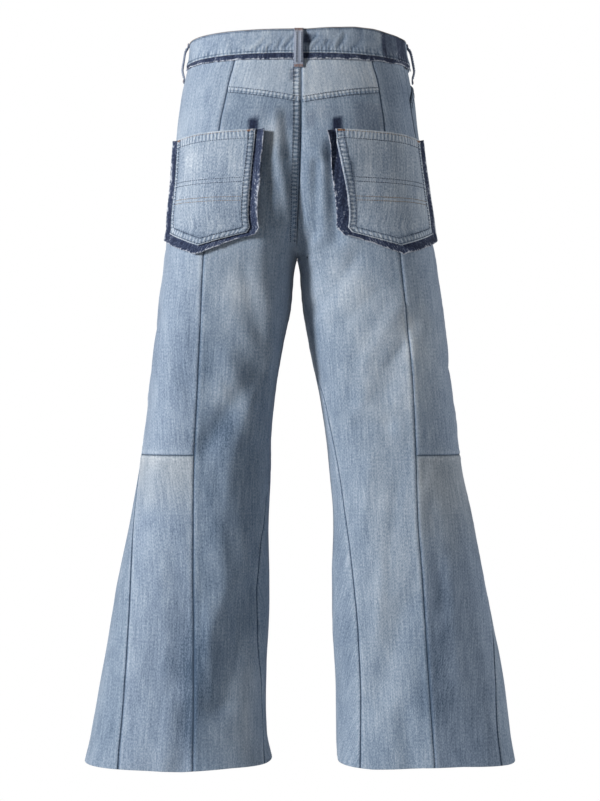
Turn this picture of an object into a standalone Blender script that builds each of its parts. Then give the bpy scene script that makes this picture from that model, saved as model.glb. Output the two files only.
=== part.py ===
"""Bootcut jeans pieced together from washed denim, filled out as they are when worn, and hollow inside.

Metres, +Z up. The seat, with its two patch pockets, faces +Y and the fly faces -Y. +X is the wearer's left.
The origin is the middle of the waistband's ring, where the wearer's waist holds the jeans.

Each half of the garment is one smooth surface. At every height its section is a rounded oval, given by
how far it reaches outwards, backwards and forwards. Above the crotch the two halves' ovals run into each
other and are cut off at the centre seam, and below it each closes into a leg. The cloth panels are walls
cut out of that surface along the seams, and whatever lies on a panel is made from the same surface, moved out.
"""

import math

import bmesh
import bpy
import numpy as np

MM = 0.001

# Cloth and gaps.
DENIM = 1.4 * MM
BAND_THICK = 2.8 * MM
BAND_OUT = 2.2 * MM  # the waistband's outer face, outside the panels' outer faces
POCKET_THICK = 1.6 * MM
TRIM_THICK = 1.1 * MM
SEAM_GAP = 0.3 * MM
LAY_GAP = 0.8 * MM  # under a piece that lies on a panel, whose flat faces are laid out differently
POCKET_GAP = 1.7 * MM  # and under the pockets, which lie over folds

# Heights from the origin.
BAND_TOP = 18 * MM
BAND_BOTTOM = -16 * MM
STRIP_BOTTOM = -25 * MM
STRIP_BOTTOM_AT_SIDES = -22 * MM
CROTCH = -281 * MM
KNEE_SEAM = -553 * MM
HEM = -978 * MM
YOKE_AT_SEAM = -78 * MM
YOKE_AT_PRINCESS = -62 * MM

# The waistline is higher at the back than at the front, by this slope, down to where it has faded out.
WAIST_TILT = 0.065
TILT_ENDS = -160 * MM

# Sections, in millimetres. seam is the centre seam's x. outer is how far each half reaches sideways, from
# x = 0. part says how far the two halves' ovals have parted: 0 is one oval, and 1 is two that only touch.
# back and front are the furthest y, and square is the oval's exponent: 2 is an ellipse.
TORSO_COLUMNS = ("z", "seam", "outer_l", "outer_r", "part", "back", "front", "square")
TORSO = (
    (30, -2.0, 151, 145, 0.00, 102, -99, 2.3),
    (0, -2.0, 153, 149, 0.00, 105, -102, 2.3),
    (-19, -2.0, 157, 153, 0.00, 108, -104, 2.3),
    (-60, -2.0, 166, 160, 0.00, 117, -109, 2.3),
    (-110, -1.5, 172, 165, 0.05, 125, -113, 2.3),
    (-165, 0.0, 177, 171, 0.20, 129, -114, 2.3),
    (-210, 2.0, 181, 177, 0.46, 127, -112, 2.4),
    (-240, 3.4, 184, 182, 0.70, 123, -110, 2.5),
    (-264, 4.2, 187, 186, 0.90, 119, -108, 2.5),
)

# The same for the legs, where inner is how far the leg's inside is from the centre seam's x.
LEG_COLUMNS = ("z", "seam", "outer_l", "inner_l", "outer_r", "inner_r", "back", "front", "square")
LEGS = (
    (-281, 4.5, 189, 0.15, 189, 0.15, 116, -106, 2.5),
    (-302, 4.5, 191, 4.5, 192, 4.5, 112, -104, 2.5),
    (-345, 4.5, 198, 8.5, 199, 8.5, 106, -101, 2.5),
    (-400, 4.0, 204, 19, 206, 17, 100, -97, 2.5),
    (-480, 2.5, 211, 33, 215, 31, 91, -91, 2.5),
    (-560, 0.5, 222, 41, 225, 40, 84, -86, 2.5),
    (-640, 0.0, 237, 43, 241, 46, 85, -87, 2.4),
    (-720, 0.0, 253, 43, 256, 44, 88, -89, 2.4),
    (-800, 0.0, 267, 44, 272, 45, 91, -92, 2.4),
    (-880, 0.0, 281, 47, 286, 49, 95, -94, 2.4),
    (-940, 0.0, 291, 46, 293, 50, 99, -97, 2.6),
    (-985, 0.0, 301, 38, 301, 52, 102, -100, 2.9),
)

# The raw hems wander: what each adds to the hem's height, in millimetres, by the angle round the leg in degrees.
HEM_COLUMNS = ("angle", "l", "r")
HEMS = (
    (-180, 1, 1),
    (-110, 0, 2),
    (-20, 1, 1),
    (30, 0, 1),
    (65, -1, 4),
    (95, -3, 3),
    (130, 1, -1),
    (180, 1, 1),
)

# Seams. side is the side seam's angle in degrees, from 0 at the outermost point towards the back.
# princess and inseam are how far those seams are from x = 0 on the back, in millimetres. An inseam nearer
# to x = 0 than the leg's inside is at that inside.
SEAM_COLUMNS = ("z", "side_l", "side_r", "princess_l", "princess_r", "inseam_l", "inseam_r")
SEAMS = (
    (30, -3, 18, 84, 93, 0, 0),
    (-20, -3, 18, 88, 97, 0, 0),
    (-55, -3, 17.5, 97, 106, 0, 0),
    (-110, -3, 16, 109, 114, 0, 0),
    (-210, -3, 11, 122, 126, 0, 0),
    (-281, -3, 8, 130, 135, 0, 0),
    (-400, -3, 4, 136, 147, 0, 10),
    (-480, 2, 0, 140, 153, 20, 35),
    (-555, 10, -2, 144, 157, 38, 50),
    (-640, 25, 1, 145, 160, 52, 63),
    (-720, 36, 8, 145, 166, 59, 73),
    (-800, 42, 19, 144, 171, 59, 80),
    (-880, 46, 30, 144, 176, 53, 83),
    (-985, 50, 39, 145, 183, 48, 82),
)

# The largest folds, in millimetres: from (along, z) to (along_to, z_to) as seen square on to that face,
# where along is the distance from x = 0 on the back and front and y on the outside. A fold below the
# cloth around it has a negative depth.
FOLD_COLUMNS = ("half", "face", "along", "z", "along_to", "z_to", "width", "depth")
FOLDS = (
    ("l", "back", 62, -440, 128, -540, 15, -5.0),
    ("l", "back", 98, -420, 62, -520, 14, 3.5),
    ("l", "back", 70, -740, 108, -890, 20, -5.0),
    ("l", "back", 30, -150, 12, -235, 8, 3.0),
    ("r", "back", 152, -370, 114, -470, 15, -4.0),
    ("r", "back", 118, -512, 80, -508, 11, -3.5),
    ("r", "back", 42, -135, 48, -262, 9, -5.0),
    ("r", "back", 26, -150, 20, -285, 9, 3.5),
    ("r", "back", 70, -290, 22, -350, 12, -3.5),
    ("r", "back", 140, -760, 108, -880, 18, -4.0),
    ("l", "front", 120, -190, 26, -262, 12, -4.5),
    ("l", "front", 110, -250, 24, -300, 11, -4.0),
    ("l", "front", 70, -500, 150, -560, 14, -4.0),
    ("l", "front", 190, -700, 150, -860, 20, -4.5),
    ("r", "front", 126, -180, 24, -266, 12, -4.5),
    ("r", "front", 104, -262, 22, -312, 11, -4.0),
    ("r", "front", 150, -500, 74, -556, 14, -4.0),
    ("r", "front", 110, -720, 160, -880, 20, -4.5),
    ("l", "outer", 40, -360, -40, -430, 15, -3.5),
    ("r", "outer", -40, -380, 42, -450, 15, -3.5),
)
# The long soft edges where the back of each leg turns away, as lines of (along, z) in millimetres, and
# how high they stand and how far their sides run out.
RIDGES = {
    "l": ((51, -250), (51, -437), (76, -491), (100, -572), (106, -667), (104, -735), (125, -802), (149, -938)),
    "r": ((147, -400), (153, -480), (157, -555), (160, -640), (166, -720), (171, -800), (176, -880), (183, -985)),
}
RIDGE_HIGH = 8 * MM
RIDGE_SIDE = 31 * MM
RIDGE_SOFT = 5 * MM  # how round the crest is
# The seat dips along the centre seam between these heights.
VALLEY_DEEP = 9 * MM
VALLEY_SIDE = 24 * MM
VALLEY_TOP = -55 * MM
VALLEY_FOOT = -285 * MM
ROUND_FROM = -244 * MM  # distances round the cloth below this height start where they do at it

# Patch pockets on the seat, in millimetres: p runs round the cloth from the centre seam, and q is z.
POCKET_COLUMNS = ("top_inner", "top_outer", "bottom_inner", "tip", "bottom_outer")
POCKETS = {"l": (60, 190, 70, 128, 190), "r": (46, 188, 76, 134, 210)}
POCKET_TOP = -116
POCKET_TOP_OUTER = -122
POCKET_CORNER = -251
POCKET_TIP = -269
BORDER_OUT = 11  # how far the raw border shows past the pocket's edge
BORDER_UNDER = 4  # and how far it runs under it
BORDER_CURL = {"inner": 7.5 * MM, "bottom": 3 * MM, "outer": 5.5 * MM}

# Belt loops: each one's name and its angle round the waist, in degrees from the wearer's left over the back.
LOOPS = (("back", 88), ("side_l", 3), ("side_r", 179), ("front_l", -52), ("front_r", 232))
LOOP_WIDTH = 13 * MM
LOOP_THICK = 1.6 * MM
# The loop's inner face from its foot to its head, in millimetres: how far out it is, at each height.
LOOP_COLUMNS = ("z", "out")
LOOP_PROFILE = (
    (-36, 0.6),
    (-31, 0.6),
    (-26, 3.6),
    (-20, 6.3),
    (-6, 7.4),
    (4, 7.2),
    (10, 5.8),
    (14, 2.9),
    (18, 2.9),
)

# The front.
SHIELD_WIDTH = 42 * MM
SHIELD_BOTTOM = -165 * MM
SCOOP_START = 78 * MM  # from the centre, where the pocket's mouth leaves the waistband
SCOOP_DEEP = 62 * MM
FACING_UNDER = 12 * MM
BAND_OVER = 14 * MM  # the waistband's outer end passes the centre front by this much
BAND_UNDER = 24 * MM  # and its inner end by this much the other way, behind it
# The waistband's top edge bows up on the wearer's right of the seat: how far, in millimetres, by turn in degrees.
BAND_RISE_COLUMNS = ("turn", "rise")
BAND_RISE = ((95, 0), (112, 2.5), (128, 4.5), (140, 4), (150, 1.5), (160, 0))
BAND_TUCK = 3.4 * MM  # how far inwards that inner end is drawn
# The button's half section, in millimetres: radius, and height off the waistband.
BUTTON_PROFILE = ((3.2, 0.4), (3.6, 1.2), (7.6, 1.3), (8.5, 2.0), (8.1, 2.9), (7.0, 3.1), (6.2, 2.7), (3.0, 2.9))

# How finely the walls are made.
# Every panel has its rows at these heights, in millimetres, so that neighbours match along their seams.
ROWS = (
    -40, -62, -92, -130, -172, -210, -238, -256, -268, -275.5, -279.5, -283, -288, -300, -328, -365,
    -410, -460, -507, -553, -575, -600, -625, -655, -702, -756, -812, -868, -924,
)
EASE_FROM = -215 * MM
EASE_TO = -345 * MM
BACK_COLUMNS = 14
SIDE_COLUMNS = 7
FRONT_COLUMNS = 19

# Colours, linear.
PALE = (0.36, 0.46, 0.58, 1)
MID = (0.26, 0.36, 0.49, 1)
SOFT = (0.31, 0.40, 0.52, 1)
INDIGO = (0.035, 0.055, 0.14, 1)
GREY = (0.50, 0.52, 0.56, 1)
BRASS = (0.40, 0.24, 0.09, 1)


def rows_of(table, columns):
    """A table's rows as dictionaries with named columns."""
    return [dict(zip(columns, row)) for row in table]


def smooth_column(heights, values):
    """A curve through one column of a table. It is smooth, and doesn't overshoot between the rows."""
    order = np.argsort(heights)
    knots, marks = np.array(heights, float)[order], np.array(values, float)[order]
    steps = np.diff(knots)
    grades = np.diff(marks) / steps
    before, after = grades[:-1], grades[1:]
    slopes = np.concatenate([grades[:1], np.zeros(len(knots) - 2), grades[-1:]])
    turning = before * after <= 0
    total = np.where(turning, 1, before + after)
    slopes[1:-1] = np.where(turning, 0, 2 * before * after / total)

    def curve(height):
        height = np.clip(height, knots[0], knots[-1])
        i = np.clip(np.searchsorted(knots, height) - 1, 0, len(steps) - 1)
        t = (height - knots[i]) / steps[i]
        straight = marks[i] * (1 + 2 * t) * (1 - t) ** 2 + marks[i + 1] * t**2 * (3 - 2 * t)
        return straight + steps[i] * (slopes[i] * t * (1 - t) ** 2 - slopes[i + 1] * t**2 * (1 - t))

    return curve


def ease(t):
    """0 below 0, 1 above 1, and smooth between."""
    t = np.clip(t, 0, 1)
    return t * t * (3 - 2 * t)


class Half:
    """One half of the garment. Angles go round its section: 0 is outermost, and 90 degrees is at the back."""

    def __init__(self, name):
        self.name = name
        self.sign = 1 if name == "l" else -1
        torso, legs, seams = rows_of(TORSO, TORSO_COLUMNS), rows_of(LEGS, LEG_COLUMNS), rows_of(SEAMS, SEAM_COLUMNS)
        for row in legs:
            reach = row["outer_" + name] - self.sign * row["seam"]
            row["part"] = (reach + row["inner_" + name]) / (reach - row["inner_" + name])
        sections = torso + legs
        heights = [row["z"] * MM for row in sections]
        self.seam = smooth_column(heights, [row["seam"] * MM for row in sections])
        self.outer = smooth_column(heights, [row["outer_" + name] * MM for row in sections])
        self.part = smooth_column(heights, [row["part"] for row in sections])
        self.back = smooth_column(heights, [row["back"] * MM for row in sections])
        self.front = smooth_column(heights, [row["front"] * MM for row in sections])
        self.square = smooth_column(heights, [row["square"] for row in sections])
        levels = [row["z"] * MM for row in seams]
        self.side_degrees = smooth_column(levels, [row["side_" + name] for row in seams])
        self.princess_x = smooth_column(levels, [row["princess_" + name] * MM for row in seams])
        self.inseam_x = smooth_column(levels, [row["inseam_" + name] * MM for row in seams])
        self.folds = [row for row in rows_of(FOLDS, FOLD_COLUMNS) if row["half"] == name]
        self.ridge = np.array(RIDGES[name], float) * MM

    def oval(self, z):
        """The section at height z: its centre's distance from the seam, y, half width, half depth, exponent."""
        reach = self.outer(z) - self.sign * self.seam(z)
        wide = reach / (1 + self.part(z))
        back, front = self.back(z), self.front(z)
        return self.part(z) * wide, (back + front) / 2, wide, (back - front) / 2, self.square(z)

    def plain(self, angle, z):
        """The point at an angle and height, before any fold, with x measured from the seam outwards."""
        across, y, wide, deep, square = self.oval(z)
        c, s = np.cos(angle), np.sin(angle)
        radius = (np.abs(c / wide) ** square + np.abs(s / deep) ** square) ** (-1 / square)
        y = y + radius * s
        tilt = WAIST_TILT * ease((z - TILT_ENDS) / (BAND_BOTTOM - TILT_ENDS))
        return np.stack([across + radius * c, y, z + tilt * y], axis=-1)

    def facing(self, surface, angle, z):
        """The outward unit normal of a surface function at an angle and height."""
        turn, step = 2e-3, 0.6 * MM
        around = surface(angle + turn, z) - surface(angle - turn, z)
        upward = surface(angle, z + step) - surface(angle, z - step)
        normal = np.cross(around, upward)
        return normal / np.linalg.norm(normal, axis=-1, keepdims=True)

    def folded(self, angle, z):
        """The point at an angle and height, moved in or out by the folds."""
        point = self.plain(angle, z)
        normal = self.facing(self.plain, angle, z)
        across = point[..., 0] + self.sign * self.seam(z)
        seen = {"back": normal[..., 1], "front": -normal[..., 1], "outer": normal[..., 0]}
        along = {"back": across, "front": across, "outer": point[..., 1]}
        move = np.zeros(np.shape(across))
        for fold in self.folds:
            start = np.array([fold["along"], fold["z"]]) * MM
            run = np.array([fold["along_to"], fold["z_to"]]) * MM - start
            place = np.stack([along[fold["face"]], point[..., 2]], axis=-1) - start
            share = np.clip(place @ run / (run @ run), 0, 1)
            away = np.linalg.norm(place - share[..., None] * run, axis=-1) / (fold["width"] * MM)
            move = move + fold["depth"] * MM * np.exp(-(away**2)) * ease(seen[fold["face"]] * 2)
        spot = np.stack([across, point[..., 2]], axis=-1)
        away = np.full(np.shape(across), np.inf)
        for start, end in zip(self.ridge[:-1], self.ridge[1:]):
            run = end - start
            share = np.clip((spot - start) @ run / (run @ run), 0, 1)
            away = np.minimum(away, np.linalg.norm(spot - start - share[..., None] * run, axis=-1))
        side = np.exp((RIDGE_SOFT - np.hypot(away, RIDGE_SOFT)) / RIDGE_SIDE)
        move = move + RIDGE_HIGH * side * ease(seen["back"] * 2)
        near_seam = ease(point[..., 0] / (14 * MM))  # the seams hold the cloth where the halves meet
        height = point[..., 2]
        seat = ease((height - VALLEY_FOOT) / (45 * MM)) * ease((VALLEY_TOP - height) / (70 * MM))
        dip = VALLEY_DEEP * np.exp(-point[..., 0] / VALLEY_SIDE) * seat * ease(seen["back"] * 2)
        return point + normal * (move * near_seam)[..., None] - np.stack([0 * dip, dip, 0 * dip], axis=-1)

    def at(self, angle, z, out=0.0):
        """Points in the garment's frame, out metres outside the cloth's outer face."""
        angle, z = np.broadcast_arrays(np.asarray(angle, float), np.asarray(z, float))
        point = self.folded(angle, z) + self.facing(self.folded, angle, z) * np.asarray(out)[..., None]
        x = self.seam(z) + self.sign * point[..., 0]
        return np.stack([x, point[..., 1], point[..., 2]], axis=-1)

    def angle_at(self, x, z, back=True):
        """The angle at which the plain section is x metres from the seam, on the back or the front."""
        across, _, wide, deep, square = self.oval(z)
        ratio = np.clip(np.abs((x - across) / wide), 0, 1)
        y = deep * (1 - ratio**square) ** (1 / square)
        return np.arctan2(y if back else -y, np.clip(x - across, -wide, wide))

    def seat_edge(self, z):
        """The angle of the back panels' inner edge: the centre seam, and below the crotch the inseam."""
        below = self.angle_at(np.maximum(self.inseam_x(z) - self.sign * self.seam(z), 0), z)
        _, _, wide, _, _ = self.oval(z)
        gap = SEAM_GAP / 2
        return np.where(z > CROTCH, self.angle_at(gap, z), below - gap / wide)

    def fly_edge(self, z):
        """The angle of the front panel's inner edge, which below the crotch meets the back panel's."""
        _, _, wide, _, _ = self.oval(z)
        below = self.seat_edge(z) + SEAM_GAP / wide - 2 * math.pi
        return np.where(z > CROTCH, self.angle_at(SEAM_GAP / 2, z, back=False), below)

    def princess(self, z, side=0):
        """The princess seam's angle, moved half a seam gap to one side of it."""
        _, _, wide, _, _ = self.oval(z)
        return self.angle_at(self.princess_x(z) - self.sign * self.seam(z), z) + side * SEAM_GAP / 2 / wide

    def side_seam(self, z, side=0):
        """The side seam's angle, moved half a seam gap to one side of it."""
        _, _, wide, _, _ = self.oval(z)
        return np.radians(self.side_degrees(z)) + side * SEAM_GAP / 2 / wide

    def hem(self, angle):
        """The height of the raw hem at an angle round the leg."""
        rows = rows_of(HEMS, HEM_COLUMNS)
        turned = (np.degrees(angle) + 180) % 360 - 180
        return HEM + MM * np.interp(turned, [row["angle"] for row in rows], [row[self.name] for row in rows])

    def angle_round(self, distance, z, back=True):
        """The angle that is some distance round the cloth from the centre seam, at height z."""
        distance, z = np.broadcast_arrays(np.asarray(distance, float), np.asarray(z, float))
        turns = np.radians(np.linspace(0, 150, 76))
        z = np.maximum(z, ROUND_FROM)
        start = self.angle_at(SEAM_GAP / 2, z, back)
        angles = start[..., None] - turns if back else start[..., None] + turns
        points = self.plain(angles, np.broadcast_to(z[..., None], angles.shape))
        steps = np.linalg.norm(np.diff(points, axis=-2), axis=-1)
        travelled = np.concatenate([np.zeros(z.shape + (1,)), np.cumsum(steps, axis=-1)], axis=-1)
        last = np.clip((travelled < distance[..., None]).sum(axis=-1), 1, len(turns) - 1)[..., None]
        low, high = (np.take_along_axis(travelled, i, -1)[..., 0] for i in (last - 1, last))
        share = (distance - low) / (high - low)
        from_angle, to_angle = (np.take_along_axis(angles, i, -1)[..., 0] for i in (last - 1, last))
        return from_angle + share * (to_angle - from_angle)


def material(name, colour, roughness=0.9, metallic=0.0):
    """A plain material of one colour."""
    made = bpy.data.materials.get(name) or bpy.data.materials.new(name)
    made.use_nodes = True
    shader = made.node_tree.nodes["Principled BSDF"]
    shader.inputs["Base Color"].default_value = colour
    shader.inputs["Roughness"].default_value = roughness
    shader.inputs["Metallic"].default_value = metallic
    return made


def add_object(name, bm, look):
    """Turns a bmesh into the scene's object of that name."""
    bmesh.ops.recalc_face_normals(bm, faces=bm.faces)
    mesh = bpy.data.meshes.new(name)
    bm.to_mesh(mesh)
    bm.free()
    mesh.materials.append(look)
    mesh.shade_smooth()
    mesh.set_sharp_from_angle(angle=math.radians(40))
    obj = bpy.data.objects.new(name, mesh)
    bpy.context.scene.collection.objects.link(obj)
    return obj


def add_wall(name, outside, inside, look):
    """A closed wall between two grids of points: the outer one is skinned and extruded to the inner one."""
    rows, columns = outside.shape[:2]
    bm = bmesh.new()
    index = bm.verts.layers.int.new("grid_place")
    for place, point in enumerate(outside.reshape(-1, 3)):
        vert = bm.verts.new(point)
        vert[index] = place
    bm.verts.ensure_lookup_table()
    for r in range(rows - 1):
        for c in range(columns - 1):
            corners = (r * columns + c, r * columns + c + 1, (r + 1) * columns + c + 1, (r + 1) * columns + c)
            bm.faces.new([bm.verts[k] for k in corners])
    moved = bmesh.ops.extrude_face_region(bm, geom=bm.faces[:], use_keep_orig=True)["geom"]
    flat = inside.reshape(-1, 3)
    for vert in moved:
        if isinstance(vert, bmesh.types.BMVert):
            vert.co = flat[vert[index]]
    return add_object(name, bm, look)


def add_cloth(name, half, angle, z, look, out=0.0, thick=DENIM):
    """A wall of cloth over a grid of angles and heights. Its inner face is out metres off the surface."""
    outside = half.at(angle, z, np.asarray(out) + thick * (np.asarray(out) > 0))
    inside = half.at(angle, z, np.where(np.asarray(out) > 0, out, -thick))
    return add_wall(name, outside, inside, look)


def panel_heights(bottom, top, between=0):
    """A panel's grid of heights, from its bottom edge to its top edge, with level rows in between.

    between is how many rows are shared out from the highest level row up to the top edge.
    """
    level = [z * MM for z in ROWS if bottom.max() + 2.5 * MM < z * MM < top.min() - 2.5 * MM]
    rows = [bottom] + [np.full(bottom.shape, z) for z in sorted(level)]
    shares = np.arange(1, between + 1) / (between + 1)
    rows += [rows[-1] + share * (top - rows[-1]) for share in shares]
    return np.stack(rows + [top])


def eased_past_crotch(edge, z):
    """A panel's inner edge as its columns follow it: without the quick turn that the edge makes at the crotch."""
    share = ease((z - EASE_TO) / (EASE_FROM - EASE_TO))
    turned = edge(EASE_TO) + share * (edge(EASE_FROM) - edge(EASE_TO))
    return np.where((z > EASE_TO) & (z < EASE_FROM), turned, edge(z))


def panel(name, half, start, end, bottom, top, columns, look, between=0, past_crotch=False):
    """A panel between two seams, given as angles by height, and two edges, given as heights across it.

    With no bottom edge the panel goes down to the hem.
    """
    across = np.linspace(0, 1, columns + 1)
    if bottom is None:
        bottom = half.hem(start(HEM) + across * (end(HEM) - start(HEM)))
    z = panel_heights(np.broadcast_to(bottom, across.shape), np.broadcast_to(top, across.shape), between)
    first, last = start(z), end(z)
    angle = first + across * (last - first)
    if past_crotch:
        eased = first + across * (eased_past_crotch(end, z) - first)
        k = round(columns * 0.66)
        rest = np.clip((across - across[k]) / (1 - across[k]), 0, 1)
        angle = np.where(across <= across[k], eased, eased[:, k:k + 1] + rest * (last - eased[:, k:k + 1]))
    return add_cloth(name, half, angle, z, look)


def add_back_panels(half):
    """The seat's yoke, the long back panel under it, and the two side back panels."""
    name, gap = half.name, SEAM_GAP / 2
    across = np.linspace(0, 1, BACK_COLUMNS + 1)
    yoke_seam = YOKE_AT_PRINCESS + (YOKE_AT_SEAM - YOKE_AT_PRINCESS) * across
    inner = lambda z: half.princess(z, 1)
    panel("yoke_" + name, half, inner, half.seat_edge, yoke_seam + gap, BAND_BOTTOM - gap,
          BACK_COLUMNS, material("yoke_denim", PALE))
    panel("back_leg_" + name, half, inner, half.seat_edge, None, yoke_seam - gap,
          BACK_COLUMNS, material("back_denim", MID), past_crotch=True)
    side, princess = lambda z: half.side_seam(z, 1), lambda z: half.princess(z, -1)
    panel("side_upper_" + name, half, side, princess, KNEE_SEAM + gap, BAND_BOTTOM - gap,
          SIDE_COLUMNS, material("side_denim", PALE))
    panel("side_lower_" + name, half, side, princess, None, KNEE_SEAM - gap,
          SIDE_COLUMNS, material("knee_denim", SOFT))


def scoop_edge(half, across):
    """The front panel's top edge, from the side seam to the fly, where the pocket's mouth dips."""
    top = np.full(across.shape, BAND_BOTTOM - SEAM_GAP / 2)
    side, fly = half.side_seam(top, -1), half.fly_edge(top)
    angle = side + across * (fly - side)
    start = half.angle_at(SCOOP_START, top, back=False)
    share = np.clip((angle - start) / (side - start), 0, 1)
    return top - SCOOP_DEEP * (1 - np.sqrt(1 - share**1.7))


def add_front_panels(half):
    """The front of the leg, cut away at the pocket's mouth, and the facing that shows in that mouth."""
    side = lambda z: half.side_seam(z, -1)
    top = scoop_edge(half, np.linspace(0, 1, FRONT_COLUMNS + 1))
    panel("front_leg_" + half.name, half, side, half.fly_edge, None, top,
          FRONT_COLUMNS, material("front_denim", MID), between=3, past_crotch=True)
    across = np.linspace(0, 1, 9)
    start = half.angle_at(SCOOP_START - FACING_UNDER, BAND_BOTTOM, back=False)
    bottom = BAND_BOTTOM - SCOOP_DEEP - FACING_UNDER
    z = np.linspace(bottom, BAND_BOTTOM - SEAM_GAP / 2, 6)[:, None] + 0 * across
    angle = start + across * (side(z) - start)
    under = DENIM + LAY_GAP
    add_wall("pocket_facing_" + half.name, half.at(angle, z, -under), half.at(angle, z, -under - TRIM_THICK),
             material("facing_denim", MID))


def pocket_outline(name, grow):
    """The pocket's open outline, grown outwards: down the outer side, round the tip and up the inner one."""
    size = dict(zip(POCKET_COLUMNS, POCKETS[name]))
    corners = np.array([
        (size["top_outer"], POCKET_TOP_OUTER),
        (size["bottom_outer"], POCKET_CORNER),
        (size["tip"], POCKET_TIP),
        (size["bottom_inner"], POCKET_CORNER),
        (size["top_inner"], POCKET_TOP),
    ], float)
    edges = np.diff(corners, axis=0)
    outward = np.stack([-edges[:, 1], edges[:, 0]], axis=1) / np.linalg.norm(edges, axis=1)[:, None]
    normals = np.concatenate([outward[:1], (outward[:-1] + outward[1:]) / 2, outward[-1:]])
    normals /= (normals**2).sum(axis=1, keepdims=True)
    if grow > 0:
        normals[3] = outward[3]  # the strip down the inner side ends level with the pocket's corner
    return corners + grow * normals


def add_pocket(half):
    """A patch pocket with a pointed foot, and the dark raw border that shows round it on three sides."""
    name = half.name
    size = dict(zip(POCKET_COLUMNS, POCKETS[name]))
    across, up = np.linspace(0, 1, 13), np.linspace(0, 1, 9)[:, None]
    left = size["bottom_inner"] + up * (size["top_inner"] - size["bottom_inner"])
    right = size["bottom_outer"] + up * (size["top_outer"] - size["bottom_outer"])
    p = left + across * (right - left)
    tip = (size["tip"] - size["bottom_inner"]) / (size["bottom_outer"] - size["bottom_inner"])
    foot = np.where(across < tip, across / tip, (1 - across) / (1 - tip))
    bottom = POCKET_CORNER + (POCKET_TIP - POCKET_CORNER) * foot
    top = POCKET_TOP + (POCKET_TOP_OUTER - POCKET_TOP) * across**2
    q = bottom + up * (top - bottom)
    out = POCKET_GAP + TRIM_THICK + 1.3 * MM
    angle = half.angle_round(p * MM, q * MM)
    add_cloth("back_pocket_" + name, half, angle, q * MM, material("pocket_denim", PALE), out, POCKET_THICK)

    runs = []
    for grow in np.linspace(-BORDER_UNDER, BORDER_OUT, 5):
        corners = pocket_outline(name, grow)
        pieces = [corners[i] + np.linspace(0, 1, 7)[:-1, None] * (corners[i + 1] - corners[i]) for i in range(4)]
        runs.append(np.concatenate([*pieces, corners[-1:]]))
    border = np.stack(runs)
    free = np.clip(np.linspace(-BORDER_UNDER, BORDER_OUT, 5) / BORDER_OUT, 0, 1)[:, None]
    place = np.linspace(0, 4, border.shape[1])
    curl = np.interp(place, (0, 1, 2.8, 3.3, 4), [BORDER_CURL[k] for k in ("outer", "outer", "bottom", "inner", "inner")])
    angle = half.angle_round(border[..., 0] * MM, border[..., 1] * MM)
    add_cloth("pocket_border_" + name, half, angle, border[..., 1] * MM, material("raw_denim", INDIGO),
              POCKET_GAP + free**1.5 * curl, TRIM_THICK)


def round_waist(halves, turn, z, out):
    """Points round the waist. The turn goes from the wearer's left (0) over the back (90 degrees)."""
    turn, z, out = np.broadcast_arrays(turn, z, out)
    left, right = halves
    on_left = (np.cos(turn) >= 0)[..., None]
    return np.where(on_left, left.at(turn, z, out), right.at(math.pi - turn, z, out))


def add_waistband(halves):
    """The waistband: one strip right round, whose ends pass each other at the centre front."""
    deep = -halves[0].plain(-math.pi / 2, 0.0)[1]
    front = -math.pi / 2
    turn = np.linspace(front - BAND_OVER / deep, front + 2 * math.pi + BAND_UNDER / deep, 71)
    to_end = (turn[-1] - turn) * deep
    tucked = BAND_TUCK * ease((BAND_UNDER + BAND_OVER + 34 * MM - to_end) / (26 * MM))
    rise = rows_of(BAND_RISE, BAND_RISE_COLUMNS)
    top = BAND_TOP + MM * np.interp(np.degrees(turn), *([row[k] for row in rise] for k in BAND_RISE_COLUMNS))
    bottom = BAND_BOTTOM + SEAM_GAP / 2
    z = bottom + np.linspace(0, 1, 4)[:, None] * (top - bottom)
    outside = round_waist(halves, turn, z, BAND_OUT - tucked)
    inside = round_waist(halves, turn, z, BAND_OUT - tucked - BAND_THICK)
    add_wall("waistband", outside, inside, material("band_denim", PALE))


def add_waist_strip(halves):
    """The dark raw strip under the waistband, round the back from one side loop to the other."""
    turn = np.radians(np.linspace(8, 174, 37))
    side = np.abs(np.cos(turn)) ** 2
    bottom = STRIP_BOTTOM + (STRIP_BOTTOM_AT_SIDES - STRIP_BOTTOM) * side
    top = BAND_BOTTOM - SEAM_GAP / 2
    z = bottom + np.linspace(0, 1, 3)[:, None] * (top - bottom)
    out = np.full(z.shape, 0.7 * MM)
    outside = round_waist(halves, turn, z, out + TRIM_THICK)
    add_wall("waist_strip", outside, round_waist(halves, turn, z, out), material("raw_denim", INDIGO))


def add_loops(halves):
    """Belt loops, each a strip that stands off the waistband between its foot and its head."""
    profile = rows_of(LOOP_PROFILE, LOOP_COLUMNS)
    z = np.array([row["z"] for row in profile])[:, None] * MM
    out = np.array([row["out"] for row in profile])[:, None] * MM
    for name, degrees in LOOPS:
        centre = round_waist(halves, math.radians(degrees), 0.0, 0.0)
        spread = LOOP_WIDTH / 2 / np.linalg.norm(centre[:2])
        turn = math.radians(degrees) + np.linspace(-spread, spread, 3)
        outside = round_waist(halves, turn, z, out + LOOP_THICK)
        add_wall("belt_loop_" + name, outside, round_waist(halves, turn, z, out), material("loop_denim", GREY))


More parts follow.
